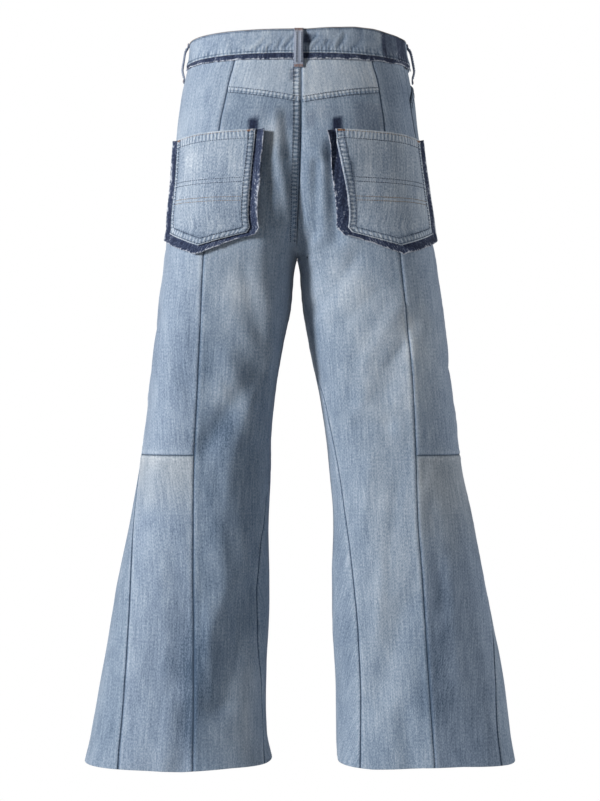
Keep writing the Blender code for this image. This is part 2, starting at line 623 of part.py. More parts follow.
def add_fly_shield(halves):
    """The shield behind the fly, under the edges of both front panels."""
    z = np.linspace(SHIELD_BOTTOM, BAND_BOTTOM - SEAM_GAP / 2, 8)[:, None]
    across = np.linspace(-SHIELD_WIDTH / 2, SHIELD_WIDTH / 2, 7)
    left, right = halves
    under = DENIM + LAY_GAP

    def lay(depth):
        x, height = np.broadcast_arrays(across, z)
        on_left = left.at(left.angle_at(np.maximum(x, 0), height, back=False), height, -depth)
        on_right = right.at(right.angle_at(np.maximum(-x, 0), height, back=False), height, -depth)
        return np.where((x >= 0)[..., None], on_left, on_right)

    add_wall("fly_shield", lay(under), lay(under + TRIM_THICK), material("facing_denim", MID))


def add_button(halves):
    """The shank button on the waistband's outer end, turned from its half section."""
    turn = -math.pi / 2
    place = round_waist(halves, turn, 0.001, BAND_OUT)
    away = round_waist(halves, turn, 0.001, BAND_OUT + 1 * MM) - place
    away /= np.linalg.norm(away)
    side = np.cross(away, (0, 0, 1))
    side /= np.linalg.norm(side)
    up = np.cross(side, away)
    bm = bmesh.new()
    rings = []
    for radius, height in BUTTON_PROFILE:
        ring = []
        for k in range(24):
            a = k * math.pi / 12
            spot = place + (away * height + side * radius * math.cos(a) + up * radius * math.sin(a)) * MM
            ring.append(bm.verts.new(spot))
        rings.append(ring)
    for low, high in zip(rings, rings[1:]):
        for k in range(24):
            bm.faces.new((low[k], low[k - 1], high[k - 1], high[k]))
    bm.faces.new(rings[0])
    bm.faces.new(rings[-1])
    add_object("button", bm, material("antique_brass", BRASS, 0.35, 1.0))


def main():
    """Builds the jeans."""
    for obj in list(bpy.data.objects):
        bpy.data.objects.remove(obj)
    halves = (Half("l"), Half("r"))
    for half in halves:
        add_back_panels(half)
        add_front_panels(half)
        add_pocket(half)
    add_waistband(halves)
    add_waist_strip(halves)
    add_loops(halves)
    add_fly_shield(halves)
    add_button(halves)


main()
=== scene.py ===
"""Dresses the bootcut jeans: washed denim panels, patch pockets, topstitching, frayed edges and a button."""

import logging
import math
from dataclasses import dataclass
from enum import Enum
from typing import Callable, Sequence

import bmesh
import bpy
import numpy as np
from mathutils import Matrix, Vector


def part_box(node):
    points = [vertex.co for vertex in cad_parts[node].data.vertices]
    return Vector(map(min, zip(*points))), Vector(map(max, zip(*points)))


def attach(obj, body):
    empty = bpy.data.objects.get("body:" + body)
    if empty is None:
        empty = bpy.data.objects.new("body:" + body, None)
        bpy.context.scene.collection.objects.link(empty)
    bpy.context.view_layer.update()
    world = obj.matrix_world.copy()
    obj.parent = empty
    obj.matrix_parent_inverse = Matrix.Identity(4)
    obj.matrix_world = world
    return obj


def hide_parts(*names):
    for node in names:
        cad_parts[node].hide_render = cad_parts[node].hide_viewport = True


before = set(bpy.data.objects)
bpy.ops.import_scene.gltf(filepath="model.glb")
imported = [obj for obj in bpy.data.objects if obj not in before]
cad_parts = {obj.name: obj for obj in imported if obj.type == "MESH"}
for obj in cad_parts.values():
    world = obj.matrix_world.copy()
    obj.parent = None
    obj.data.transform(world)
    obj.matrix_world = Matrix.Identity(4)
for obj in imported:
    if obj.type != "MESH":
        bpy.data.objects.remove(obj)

LOG = logging.getLogger("jeans")
MM = 0.001
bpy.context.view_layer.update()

Grid = np.ndarray
Curve = Callable[[Grid], Grid]


# --- Sizes, the same as the solids' ---------------------------------------------------------------

BAND_TOP = 18 * MM
BAND_BOTTOM = -16 * MM
BAND_OUT = 2.2 * MM
BAND_THICK = 2.8 * MM
CROTCH = -281 * MM
KNEE_SEAM = -553 * MM
HEM = -978 * MM
YOKE_AT_SEAM = -78 * MM
YOKE_AT_PRINCESS = -62 * MM
SEAM_GAP = 0.04 * MM  # the looks close up the solids' wider gaps
DENIM = 1.4 * MM
WAIST_TILT = 0.065
TILT_ENDS = -160 * MM

TORSO_COLUMNS = ("z", "seam", "outer_l", "outer_r", "part", "back", "front", "square")
TORSO = (
    (30, -2.0, 151, 145, 0.00, 102, -99, 2.3),
    (0, -2.0, 153, 149, 0.00, 105, -102, 2.3),
    (-19, -2.0, 157, 153, 0.00, 108, -104, 2.3),
    (-60, -2.0, 166, 160, 0.00, 117, -109, 2.3),
    (-110, -1.5, 172, 165, 0.05, 125, -113, 2.3),
    (-165, 0.0, 177, 171, 0.20, 129, -114, 2.3),
    (-210, 2.0, 181, 177, 0.46, 127, -112, 2.4),
    (-240, 3.4, 184, 182, 0.70, 123, -110, 2.5),
    (-264, 4.2, 187, 186, 0.90, 119, -108, 2.5),
)
LEG_COLUMNS = ("z", "seam", "outer_l", "inner_l", "outer_r", "inner_r", "back", "front", "square")
LEGS = (
    (-281, 4.5, 189, 0.15, 189, 0.15, 116, -106, 2.5),
    (-302, 4.5, 191, 4.5, 192, 4.5, 112, -104, 2.5),
    (-345, 4.5, 198, 8.5, 199, 8.5, 106, -101, 2.5),
    (-400, 4.0, 204, 19, 206, 17, 100, -97, 2.5),
    (-480, 2.5, 211, 33, 215, 31, 91, -91, 2.5),
    (-560, 0.5, 222, 41, 225, 40, 84, -86, 2.5),
    (-640, 0.0, 237, 43, 241, 46, 85, -87, 2.4),
    (-720, 0.0, 253, 43, 256, 44, 88, -89, 2.4),
    (-800, 0.0, 267, 44, 272, 45, 91, -92, 2.4),
    (-880, 0.0, 281, 47, 286, 49, 95, -94, 2.4),
    (-940, 0.0, 291, 46, 293, 50, 99, -97, 2.6),
    (-985, 0.0, 301, 38, 301, 52, 102, -100, 2.9),
)
HEM_COLUMNS = ("angle", "l", "r")
HEMS = (
    (-180, 1, 1),
    (-110, 0, 2),
    (-20, 1, 1),
    (30, 0, 1),
    (65, -1, 4),
    (95, -3, 3),
    (130, 1, -1),
    (180, 1, 1),
)
SEAM_COLUMNS = ("z", "side_l", "side_r", "princess_l", "princess_r", "inseam_l", "inseam_r")
SEAMS = (
    (30, -3, 18, 84, 93, 0, 0),
    (-20, -3, 18, 88, 97, 0, 0),
    (-55, -3, 17.5, 97, 106, 0, 0),
    (-110, -3, 16, 109, 114, 0, 0),
    (-210, -3, 11, 122, 126, 0, 0),
    (-281, -3, 8, 130, 135, 0, 0),
    (-400, -3, 4, 136, 147, 0, 10),
    (-480, 2, 0, 140, 153, 20, 35),
    (-555, 10, -2, 144, 157, 38, 50),
    (-640, 25, 1, 145, 160, 52, 63),
    (-720, 36, 8, 145, 166, 59, 73),
    (-800, 42, 19, 144, 171, 59, 80),
    (-880, 46, 30, 144, 176, 53, 83),
    (-985, 50, 39, 145, 183, 48, 82),
)
FOLD_COLUMNS = ("half", "face", "along", "z", "along_to", "z_to", "width", "depth")
FOLDS = (
    ("l", "back", 62, -440, 128, -540, 15, -5.0),
    ("l", "back", 98, -420, 62, -520, 14, 3.5),
    ("l", "back", 70, -740, 108, -890, 20, -5.0),
    ("l", "back", 30, -150, 12, -235, 8, 3.0),
    ("r", "back", 152, -370, 114, -470, 15, -4.0),
    ("r", "back", 118, -512, 80, -508, 11, -3.5),
    ("r", "back", 42, -135, 48, -262, 9, -5.0),
    ("r", "back", 26, -150, 20, -285, 9, 3.5),
    ("r", "back", 70, -290, 22, -350, 12, -3.5),
    ("r", "back", 140, -760, 108, -880, 18, -4.0),
    ("l", "front", 120, -190, 26, -262, 12, -4.5),
    ("l", "front", 110, -250, 24, -300, 11, -4.0),
    ("l", "front", 70, -500, 150, -560, 14, -4.0),
    ("l", "front", 190, -700, 150, -860, 20, -4.5),
    ("r", "front", 126, -180, 24, -266, 12, -4.5),
    ("r", "front", 104, -262, 22, -312, 11, -4.0),
    ("r", "front", 150, -500, 74, -556, 14, -4.0),
    ("r", "front", 110, -720, 160, -880, 20, -4.5),
    ("l", "outer", 40, -360, -40, -430, 15, -3.5),
    ("r", "outer", -40, -380, 42, -450, 15, -3.5),
)
# The long soft edges where the back of each leg turns away, as lines of (along, z) in millimetres.
RIDGES = {
    "l": ((51, -250), (51, -437), (76, -491), (100, -572), (106, -667), (104, -735), (125, -802),
          (149, -938)),
    "r": ((147, -400), (153, -480), (157, -555), (160, -640), (166, -720), (171, -800), (176, -880),
          (183, -985)),
}
RIDGE_HIGH = 8 * MM
RIDGE_SIDE = 31 * MM
RIDGE_SOFT = 5 * MM
VALLEY_DEEP = 9 * MM
VALLEY_SIDE = 24 * MM
VALLEY_TOP = -55 * MM
VALLEY_FOOT = -285 * MM
ROUND_FROM = -244 * MM
# Soft clouds of painted light and shade on the back, in millimetres: paler above 0 and darker below it.
PAINTED_LIGHT_AND_SHADE_COLUMNS = ("x", "z", "wide", "tall", "paler")
PAINTED_LIGHT_AND_SHADE = (
    (166, -430, 45, 110, -0.18),
    (172, -818, 55, 110, -0.22),
    (130, -835, 28, 60, -0.25),
    (146, -905, 14, 85, -0.4),
    (76, -890, 26, 75, 0.22),
    (105, -640, 42, 150, -0.25),
    (100, -518, 15, 28, -0.3),
    (106, -472, 20, 24, 0.2),
    (82, -325, 22, 34, 0.28),
    (-66, -322, 46, 46, 0.3),
    (-88, -400, 34, 80, 0.16),
    (-160, -382, 30, 60, 0.3),
    (-110, -460, 60, 50, 0.08),
    (-110, -600, 18, 90, 0.18),
    (-122, -790, 22, 110, 0.2),
    (-180, -850, 30, 100, -0.35),
    (34, -122, 16, 30, 0.35),
    (-28, -90, 30, 24, 0.15),
)
# Finer creases, which only the looks have: soft, and uneven in length, depth and spacing.
CREASES = (
    ("l", "back", 160, -985, 150, -905, 14, -3.0),
    ("l", "back", 186, -985, 176, -890, 12, 1.8),
    ("r", "back", 150, -985, 142, -900, 12, -2.2),
    ("l", "back", 112, -455, 84, -500, 7, 1.6),
    ("l", "back", 75, -300, 58, -390, 8, -1.8),
    ("l", "back", 48, -330, 40, -420, 7, 1.5),
    ("l", "back", 100, -345, 70, -395, 9, 1.2),
    ("l", "back", 62, -560, 54, -650, 8, 1.6),
    ("l", "back", 112, -580, 96, -690, 10, -1.4),
    ("l", "back", 84, -620, 74, -720, 8, 1.3),
    ("l", "back", 126, -760, 118, -880, 9, 1.8),
    ("l", "back", 92, -760, 84, -820, 6, -1.4),
    ("l", "back", 160, -640, 150, -740, 10, 1.2),
    ("l", "back", 190, -720, 178, -850, 11, 1.4),
    ("l", "back", 170, -420, 150, -470, 9, -1.4),
    ("l", "back", 46, -180, 34, -255, 6, -2.0),
    ("r", "back", 62, -290, 36, -330, 7, 1.6),
    ("r", "back", 104, -330, 60, -372, 9, -1.4),
    ("r", "back", 132, -350, 86, -430, 9, 1.6),
    ("r", "back", 140, -400, 96, -470, 7, -1.5),
    ("r", "back", 120, -440, 84, -480, 6, 1.2),
    ("r", "back", 78, -420, 62, -500, 8, -1.2),
    ("r", "back", 96, -560, 84, -660, 9, 1.4),
    ("r", "back", 132, -600, 120, -700, 9, -1.4),
    ("r", "back", 112, -700, 104, -800, 8, 1.4),
    ("r", "back", 176, -620, 196, -760, 10, -1.8),
    ("r", "back", 200, -700, 214, -860, 11, 1.6),
    ("r", "back", 182, -560, 172, -600, 7, 1.0),
    ("r", "back", 60, -165, 64, -240, 8, 1.8),
    ("r", "back", 12, -120, 10, -190, 6, 1.2),
    ("r", "back", 23, -160, 21, -252, 7, -6.0),
    ("l", "back", 44, -345, 49, -600, 6, 1.9),
    ("l", "back", 20, -95, 14, -150, 6, -2.2),
    ("l", "back", 34, -92, 30, -140, 7, 1.8),
    ("l", "front", 96, -215, 40, -256, 7, 1.8),
    ("l", "front", 84, -262, 34, -282, 6, -1.6),
    ("l", "front", 140, -300, 60, -350, 9, -1.5),
    ("l", "front", 120, -420, 90, -500, 9, 1.4),
    ("l", "front", 96, -540, 170, -585, 9, 1.5),
    ("l", "front", 120, -640, 96, -780, 10, -1.6),
    ("l", "front", 210, -640, 200, -800, 10, 1.4),
    ("r", "front", 100, -205, 44, -258, 7, 1.8),
    ("r", "front", 86, -270, 36, -290, 6, -1.6),
    ("r", "front", 144, -310, 66, -364, 9, -1.5),
    ("r", "front", 116, -430, 92, -505, 9, 1.4),
    ("r", "front", 100, -548, 176, -590, 9, 1.5),
    ("r", "front", 130, -650, 100, -770, 10, -1.6),
    ("r", "front", 214, -660, 196, -820, 10, 1.4),
    ("l", "outer", 30, -450, -30, -500, 9, 1.5),
    ("l", "outer", 50, -250, -30, -300, 9, -1.6),
    ("r", "outer", -30, -470, 34, -520, 9, 1.5),
    ("r", "outer", 40, -255, -40, -310, 9, -1.6),
)
POCKET_COLUMNS = ("top_inner", "top_outer", "bottom_inner", "tip", "bottom_outer")
POCKETS = {"l": (60, 190, 70, 128, 190), "r": (46, 188, 76, 134, 210)}
POCKET_TOP = -116
POCKET_TOP_OUTER = -122
POCKET_CORNER = -251
POCKET_TIP = -269
POCKET_OUT = 4.1 * MM
POCKET_THICK = 1.6 * MM
BORDER_OUT = 11
BORDER_UNDER = 4
BORDER_GAP = 1.7 * MM
TRIM_THICK = 1.1 * MM
EASE_FROM = -215 * MM  # between these heights a panel's columns pass the crotch
EASE_TO = -345 * MM
BORDER_CURL = {"inner": 7.5 * MM, "bottom": 3 * MM, "outer": 5.5 * MM}
LOOPS = (("back", 88), ("side_l", 3), ("side_r", 179), ("front_l", -52), ("front_r", 232))
LOOP_WIDTH = 13 * MM
LOOP_THICK = 1.6 * MM
LOOP_PROFILE = ((-36, 0.6), (-31, 0.6), (-26, 3.6), (-20, 6.3), (-6, 7.4), (4, 7.2), (10, 5.8),
                (14, 2.9), (18, 2.9))
SCOOP_START = 78 * MM
SCOOP_DEEP = 62 * MM
FACING_UNDER = 12 * MM
LAY_GAP = 0.8 * MM
BAND_OVER = 14 * MM
BAND_UNDER = 24 * MM
BAND_TUCK = 3.4 * MM
BAND_RISE = ((95, 0), (112, 2.5), (128, 4.5), (140, 4), (150, 1.5), (160, 0))
STRIP_BOTTOM = -25 * MM
STRIP_BOTTOM_AT_SIDES = -22 * MM


def rows_of(table: Sequence[Sequence], columns: Sequence[str]) -> list[dict]:
    """A table's rows as dictionaries with named columns."""
    return [dict(zip(columns, row)) for row in table]


def ease(t: Grid) -> Grid:
    """0 below 0, 1 above 1, and smooth between."""
    t = np.clip(t, 0, 1)
    return t * t * (3 - 2 * t)


def smooth_column(heights: Sequence[float], values: Sequence[float]) -> Curve:
    """A smooth curve through one column of a table, which doesn't overshoot between the rows."""
    order = np.argsort(heights)
    knots, marks = np.array(heights, float)[order], np.array(values, float)[order]
    steps = np.diff(knots)
    grades = np.diff(marks) / steps
    before, after = grades[:-1], grades[1:]
    slopes = np.concatenate([grades[:1], np.zeros(len(knots) - 2), grades[-1:]])
    turning = before * after <= 0
    slopes[1:-1] = np.where(turning, 0, 2 * before * after / np.where(turning, 1, before + after))

    def curve(height: Grid) -> Grid:
        """The value at a height."""
        height = np.clip(height, knots[0], knots[-1])
        i = np.clip(np.searchsorted(knots, height) - 1, 0, len(steps) - 1)
        t = (height - knots[i]) / steps[i]
        straight = marks[i] * (1 + 2 * t) * (1 - t) ** 2 + marks[i + 1] * t**2 * (3 - 2 * t)
        return straight + steps[i] * (slopes[i] * t * (1 - t) ** 2 - slopes[i + 1] * t**2 * (1 - t))

    return curve


def soft_noise(place: Grid, size: float, seed: int) -> Grid:
    """Smooth noise from -1 to 1 at places in metres, with lumps of a size in metres."""
    dice = np.random.default_rng(seed).uniform(-1, 1, 4096)
    spot = place / size
    low = np.floor(spot).astype(np.int64)
    t = spot - low
    t = t * t * (3 - 2 * t)
    total = np.zeros(place.shape[:-1])
    for corner in range(8):
        step = np.array([corner & 1, corner >> 1 & 1, corner >> 2 & 1])
        cell = low + step
        picked = dice[(cell[..., 0] * 73856093 ^ cell[..., 1] * 19349663 ^ cell[..., 2] * 83492791) & 4095]
        total += picked * np.prod(np.where(step, t, 1 - t), axis=-1)
    return total


# --- The garment's surface ------------------------------------------------------------------------


class Half:
    """One half of the garment: its surface, by angle (0 outermost, 90 degrees at the back) and height."""

    def __init__(self, name: str) -> None:
        """Reads this half's columns of the tables.

        Args:
            name: l for the wearer's left half, r for the right.
        """
        self.name = name
        self.sign = 1 if name == "l" else -1
        torso, legs = rows_of(TORSO, TORSO_COLUMNS), rows_of(LEGS, LEG_COLUMNS)
        seams = rows_of(SEAMS, SEAM_COLUMNS)
        for row in legs:
            reach = row["outer_" + name] - self.sign * row["seam"]
            row["part"] = (reach + row["inner_" + name]) / (reach - row["inner_" + name])
        sections = torso + legs
        heights = [row["z"] * MM for row in sections]
        self.seam = smooth_column(heights, [row["seam"] * MM for row in sections])
        self.outer = smooth_column(heights, [row["outer_" + name] * MM for row in sections])
        self.part = smooth_column(heights, [row["part"] for row in sections])
        self.back = smooth_column(heights, [row["back"] * MM for row in sections])
        self.front = smooth_column(heights, [row["front"] * MM for row in sections])
        self.square = smooth_column(heights, [row["square"] for row in sections])
        levels = [row["z"] * MM for row in seams]
        self.side_degrees = smooth_column(levels, [row["side_" + name] for row in seams])
        self.princess_x = smooth_column(levels, [row["princess_" + name] * MM for row in seams])
        self.inseam_x = smooth_column(levels, [row["inseam_" + name] * MM for row in seams])
        self.folds = [row for row in rows_of(FOLDS + CREASES, FOLD_COLUMNS) if row["half"] == name]
        self.ridge = np.array(RIDGES[name], float) * MM

    def oval(self, z: Grid) -> tuple[Grid, ...]:
        """The section at height z: its centre's x and y, half width, half depth and exponent."""
        reach = self.outer(z) - self.sign * self.seam(z)
        wide = reach / (1 + self.part(z))
        back, front = self.back(z), self.front(z)
        return self.part(z) * wide, (back + front) / 2, wide, (back - front) / 2, self.square(z)

    def plain(self, angle: Grid, z: Grid) -> Grid:
        """The point before any fold, with x measured from the seam outwards."""
        across, y, wide, deep, square = self.oval(z)
        c, s = np.cos(angle), np.sin(angle)
        radius = (np.abs(c / wide) ** square + np.abs(s / deep) ** square) ** (-1 / square)
        y = y + radius * s
        tilt = WAIST_TILT * ease((z - TILT_ENDS) / (BAND_BOTTOM - TILT_ENDS))
        return np.stack([across + radius * c, y, z + tilt * y], axis=-1)

    def facing(self, surface: Callable[[Grid, Grid], Grid], angle: Grid, z: Grid) -> Grid:
        """The outward unit normal of a surface function."""
        turn, step = 2e-3, 0.6 * MM
        around = surface(angle + turn, z) - surface(angle - turn, z)
        upward = surface(angle, z + step) - surface(angle, z - step)
        normal = np.cross(around, upward)
        return normal / np.linalg.norm(normal, axis=-1, keepdims=True)

    def relief(self, angle: Grid, z: Grid) -> tuple[Grid, Grid, Grid]:
        """The plain point, its normal, and how far folds and soft unevenness move the cloth."""
        point = self.plain(angle, z)
        normal = self.facing(self.plain, angle, z)
        across = point[..., 0] + self.sign * self.seam(z)
        seen = {"back": normal[..., 1], "front": -normal[..., 1], "outer": normal[..., 0]}
        along = {"back": across, "front": across, "outer": point[..., 1]}
        move = np.zeros(np.shape(across))
        for fold in self.folds:
            start = np.array([fold["along"], fold["z"]]) * MM
            run = np.array([fold["along_to"], fold["z_to"]]) * MM - start
            place = np.stack([along[fold["face"]], point[..., 2]], axis=-1) - start
            share = np.clip(place @ run / (run @ run), 0, 1)
            away = np.linalg.norm(place - share[..., None] * run, axis=-1) / (fold["width"] * MM)
            move = move + fold["depth"] * MM * np.exp(-(away**2)) * ease(seen[fold["face"]] * 2)
        seed = 11 if self.sign > 0 else 23
        stretched = point * (1, 1, 0.55)
        move = move + 1.1 * MM * soft_noise(stretched, 46 * MM, seed)
        move = move + 0.45 * MM * soft_noise(stretched, 17 * MM, seed + 1)
        spot = np.stack([across, point[..., 2]], axis=-1)
        away = np.full(np.shape(across), np.inf)
        for start, end in zip(self.ridge[:-1], self.ridge[1:]):
            run = end - start
            share = np.clip((spot - start) @ run / (run @ run), 0, 1)
            away = np.minimum(away, np.linalg.norm(spot - start - share[..., None] * run, axis=-1))
        side = np.exp((RIDGE_SOFT - np.hypot(away, RIDGE_SOFT)) / RIDGE_SIDE)
        move = move + RIDGE_HIGH * side * ease(seen["back"] * 2)
        near_seam = ease(point[..., 0] / (14 * MM))
        height = point[..., 2]
        seat = ease((height - VALLEY_FOOT) / (45 * MM)) * ease((VALLEY_TOP - height) / (70 * MM))
        dip = VALLEY_DEEP * np.exp(-point[..., 0] / VALLEY_SIDE) * seat * ease(seen["back"] * 2)
        return point - np.stack([0 * dip, dip, 0 * dip], axis=-1), normal, move * near_seam

    def folded(self, angle: Grid, z: Grid) -> Grid:
        """The point moved in or out by the folds."""
        point, normal, move = self.relief(angle, z)
        return point + normal * move[..., None]

    def at(self, angle: Grid, z: Grid, out: Grid | float = 0.0) -> Grid:
        """Points in the garment's frame, out metres outside the cloth's outer face."""
        angle, z = np.broadcast_arrays(np.asarray(angle, float), np.asarray(z, float))
        point = self.folded(angle, z) + self.facing(self.folded, angle, z) * np.asarray(out)[..., None]
        x = self.seam(z) + self.sign * point[..., 0]
        return np.stack([x, point[..., 1], point[..., 2]], axis=-1)

    def angle_at(self, x: Grid | float, z: Grid | float, back: bool = True) -> Grid:
        """The angle at which the plain section is x metres from the seam, on the back or the front."""
        across, _, wide, deep, square = self.oval(z)
        ratio = np.clip(np.abs((x - across) / wide), 0, 1)
        y = deep * (1 - ratio**square) ** (1 / square)
        return np.arctan2(y if back else -y, np.clip(x - across, -wide, wide))

    def seat_edge(self, z: Grid) -> Grid:
        """The back panels' inner edge: the centre seam, and below the crotch the inseam."""
        below = self.angle_at(np.maximum(self.inseam_x(z) - self.sign * self.seam(z), 0), z)
        gap = SEAM_GAP / 2
        return np.where(z > CROTCH, self.angle_at(gap, z), below - gap / self.oval(z)[2])

    def fly_edge(self, z: Grid) -> Grid:
        """The front panel's inner edge, which below the crotch meets the back panel's."""
        below = self.seat_edge(z) + SEAM_GAP / self.oval(z)[2] - 2 * math.pi
        return np.where(z > CROTCH, self.angle_at(SEAM_GAP / 2, z, back=False), below)

    def princess(self, z: Grid, side: int = 0) -> Grid:
        """The princess seam's angle, moved half a seam gap to one side of it."""
        angle = self.angle_at(self.princess_x(z) - self.sign * self.seam(z), z)
        return angle + side * SEAM_GAP / 2 / self.oval(z)[2]

    def side_seam(self, z: Grid, side: int = 0) -> Grid:
        """The side seam's angle, moved half a seam gap to one side of it."""
        return np.radians(self.side_degrees(z)) + side * SEAM_GAP / 2 / self.oval(z)[2]

    def hem(self, angle: Grid) -> Grid:
        """The height of the raw hem at an angle round the leg."""
        rows = rows_of(HEMS, HEM_COLUMNS)
        turned = (np.degrees(angle) + 180) % 360 - 180
        return HEM + MM * np.interp(turned, [row["angle"] for row in rows], [row[self.name] for row in rows])

    def angle_round(self, distance: Grid, z: Grid, back: bool = True) -> Grid:
        """The angle that is some distance round the cloth from the centre seam, at height z."""
        distance, z = np.broadcast_arrays(np.asarray(distance, float), np.asarray(z, float))
        turns = np.radians(np.linspace(0, 150, 76))
        z = np.maximum(z, ROUND_FROM)
        start = self.angle_at(SEAM_GAP / 2, z, back)
        angles = start[..., None] - turns if back else start[..., None] + turns
        points = self.plain(angles, np.broadcast_to(z[..., None], angles.shape))
        steps = np.linalg.norm(np.diff(points, axis=-2), axis=-1)
        travelled = np.concatenate([np.zeros(z.shape + (1,)), np.cumsum(steps, axis=-1)], axis=-1)
        last = np.clip((travelled < distance[..., None]).sum(axis=-1), 1, len(turns) - 1)[..., None]
        low, high = (np.take_along_axis(travelled, i, -1)[..., 0] for i in (last - 1, last))
        share = (distance - low) / (high - low)
        from_angle, to_angle = (np.take_along_axis(angles, i, -1)[..., 0] for i in (last - 1, last))
        return from_angle + share * (to_angle - from_angle)


HALVES = (Half("l"), Half("r"))


def round_waist(turn: Grid, z: Grid, out: Grid | float) -> Grid:
    """Points round the waist. The turn goes from the wearer's left (0) over the back (90 degrees)."""
    turn, z, out = np.broadcast_arrays(turn, z, out)
    left, right = HALVES
    return np.where((np.cos(turn) >= 0)[..., None], left.at(turn, z, out), right.at(math.pi - turn, z, out))


# --- Colours, finishes and materials --------------------------------------------------------------


def linear(hex_colour: str) -> tuple[float, float, float, float]:
    """An sRGB hex colour as linear RGBA."""
    parts = [int(hex_colour[i:i + 2], 16) / 255 for i in (1, 3, 5)]
    return (*[c / 12.92 if c <= 0.04045 else ((c + 0.055) / 1.055) ** 2.4 for c in parts], 1.0)


def node(tree: bpy.types.NodeTree, kind: str, settings: dict | None = None, links: dict | None = None,
         values: dict | None = None) -> bpy.types.Node:
    """Adds a node with its settings, its inputs' values and its links.

    Args:
        tree: the material's node tree.
        kind: the node's type.
        settings: the node's own properties.
        links: an input's name or number, and the output socket it comes from.
        values: an input's name or number, and its value.

    Returns:
        The new node.
    """
    made = tree.nodes.new(kind)
    for name, value in (settings or {}).items():
        setattr(made, name, value)
    for name, value in (values or {}).items():
        made.inputs[name].default_value = value
    for name, source in (links or {}).items():
        tree.links.new(source, made.inputs[name])
    return made


class Shade(Enum):
    """How far each denim has been washed down: its deep, middle, pale and worn-through colours."""

    PALE = ("#53667d", "#8c9db4", "#adbccd", "#d5dde6")
    MIDDLE = ("#485c74", "#8092a8", "#a3b2c4", "#ccd5df")
    BLEACHED = ("#687580", "#949fab", "#b5bdc6", "#d8dce1")
    INDIGO = ("#1a2034", "#2b354f", "#48546f", "#c9cfdb")
    LOOP = ("#66718a", "#98a1b4", "#b6bdca", "#dadde4")
    INSIDE = ("#7d8ca0", "#a3afbf", "#bcc5d0", "#d8dde4")


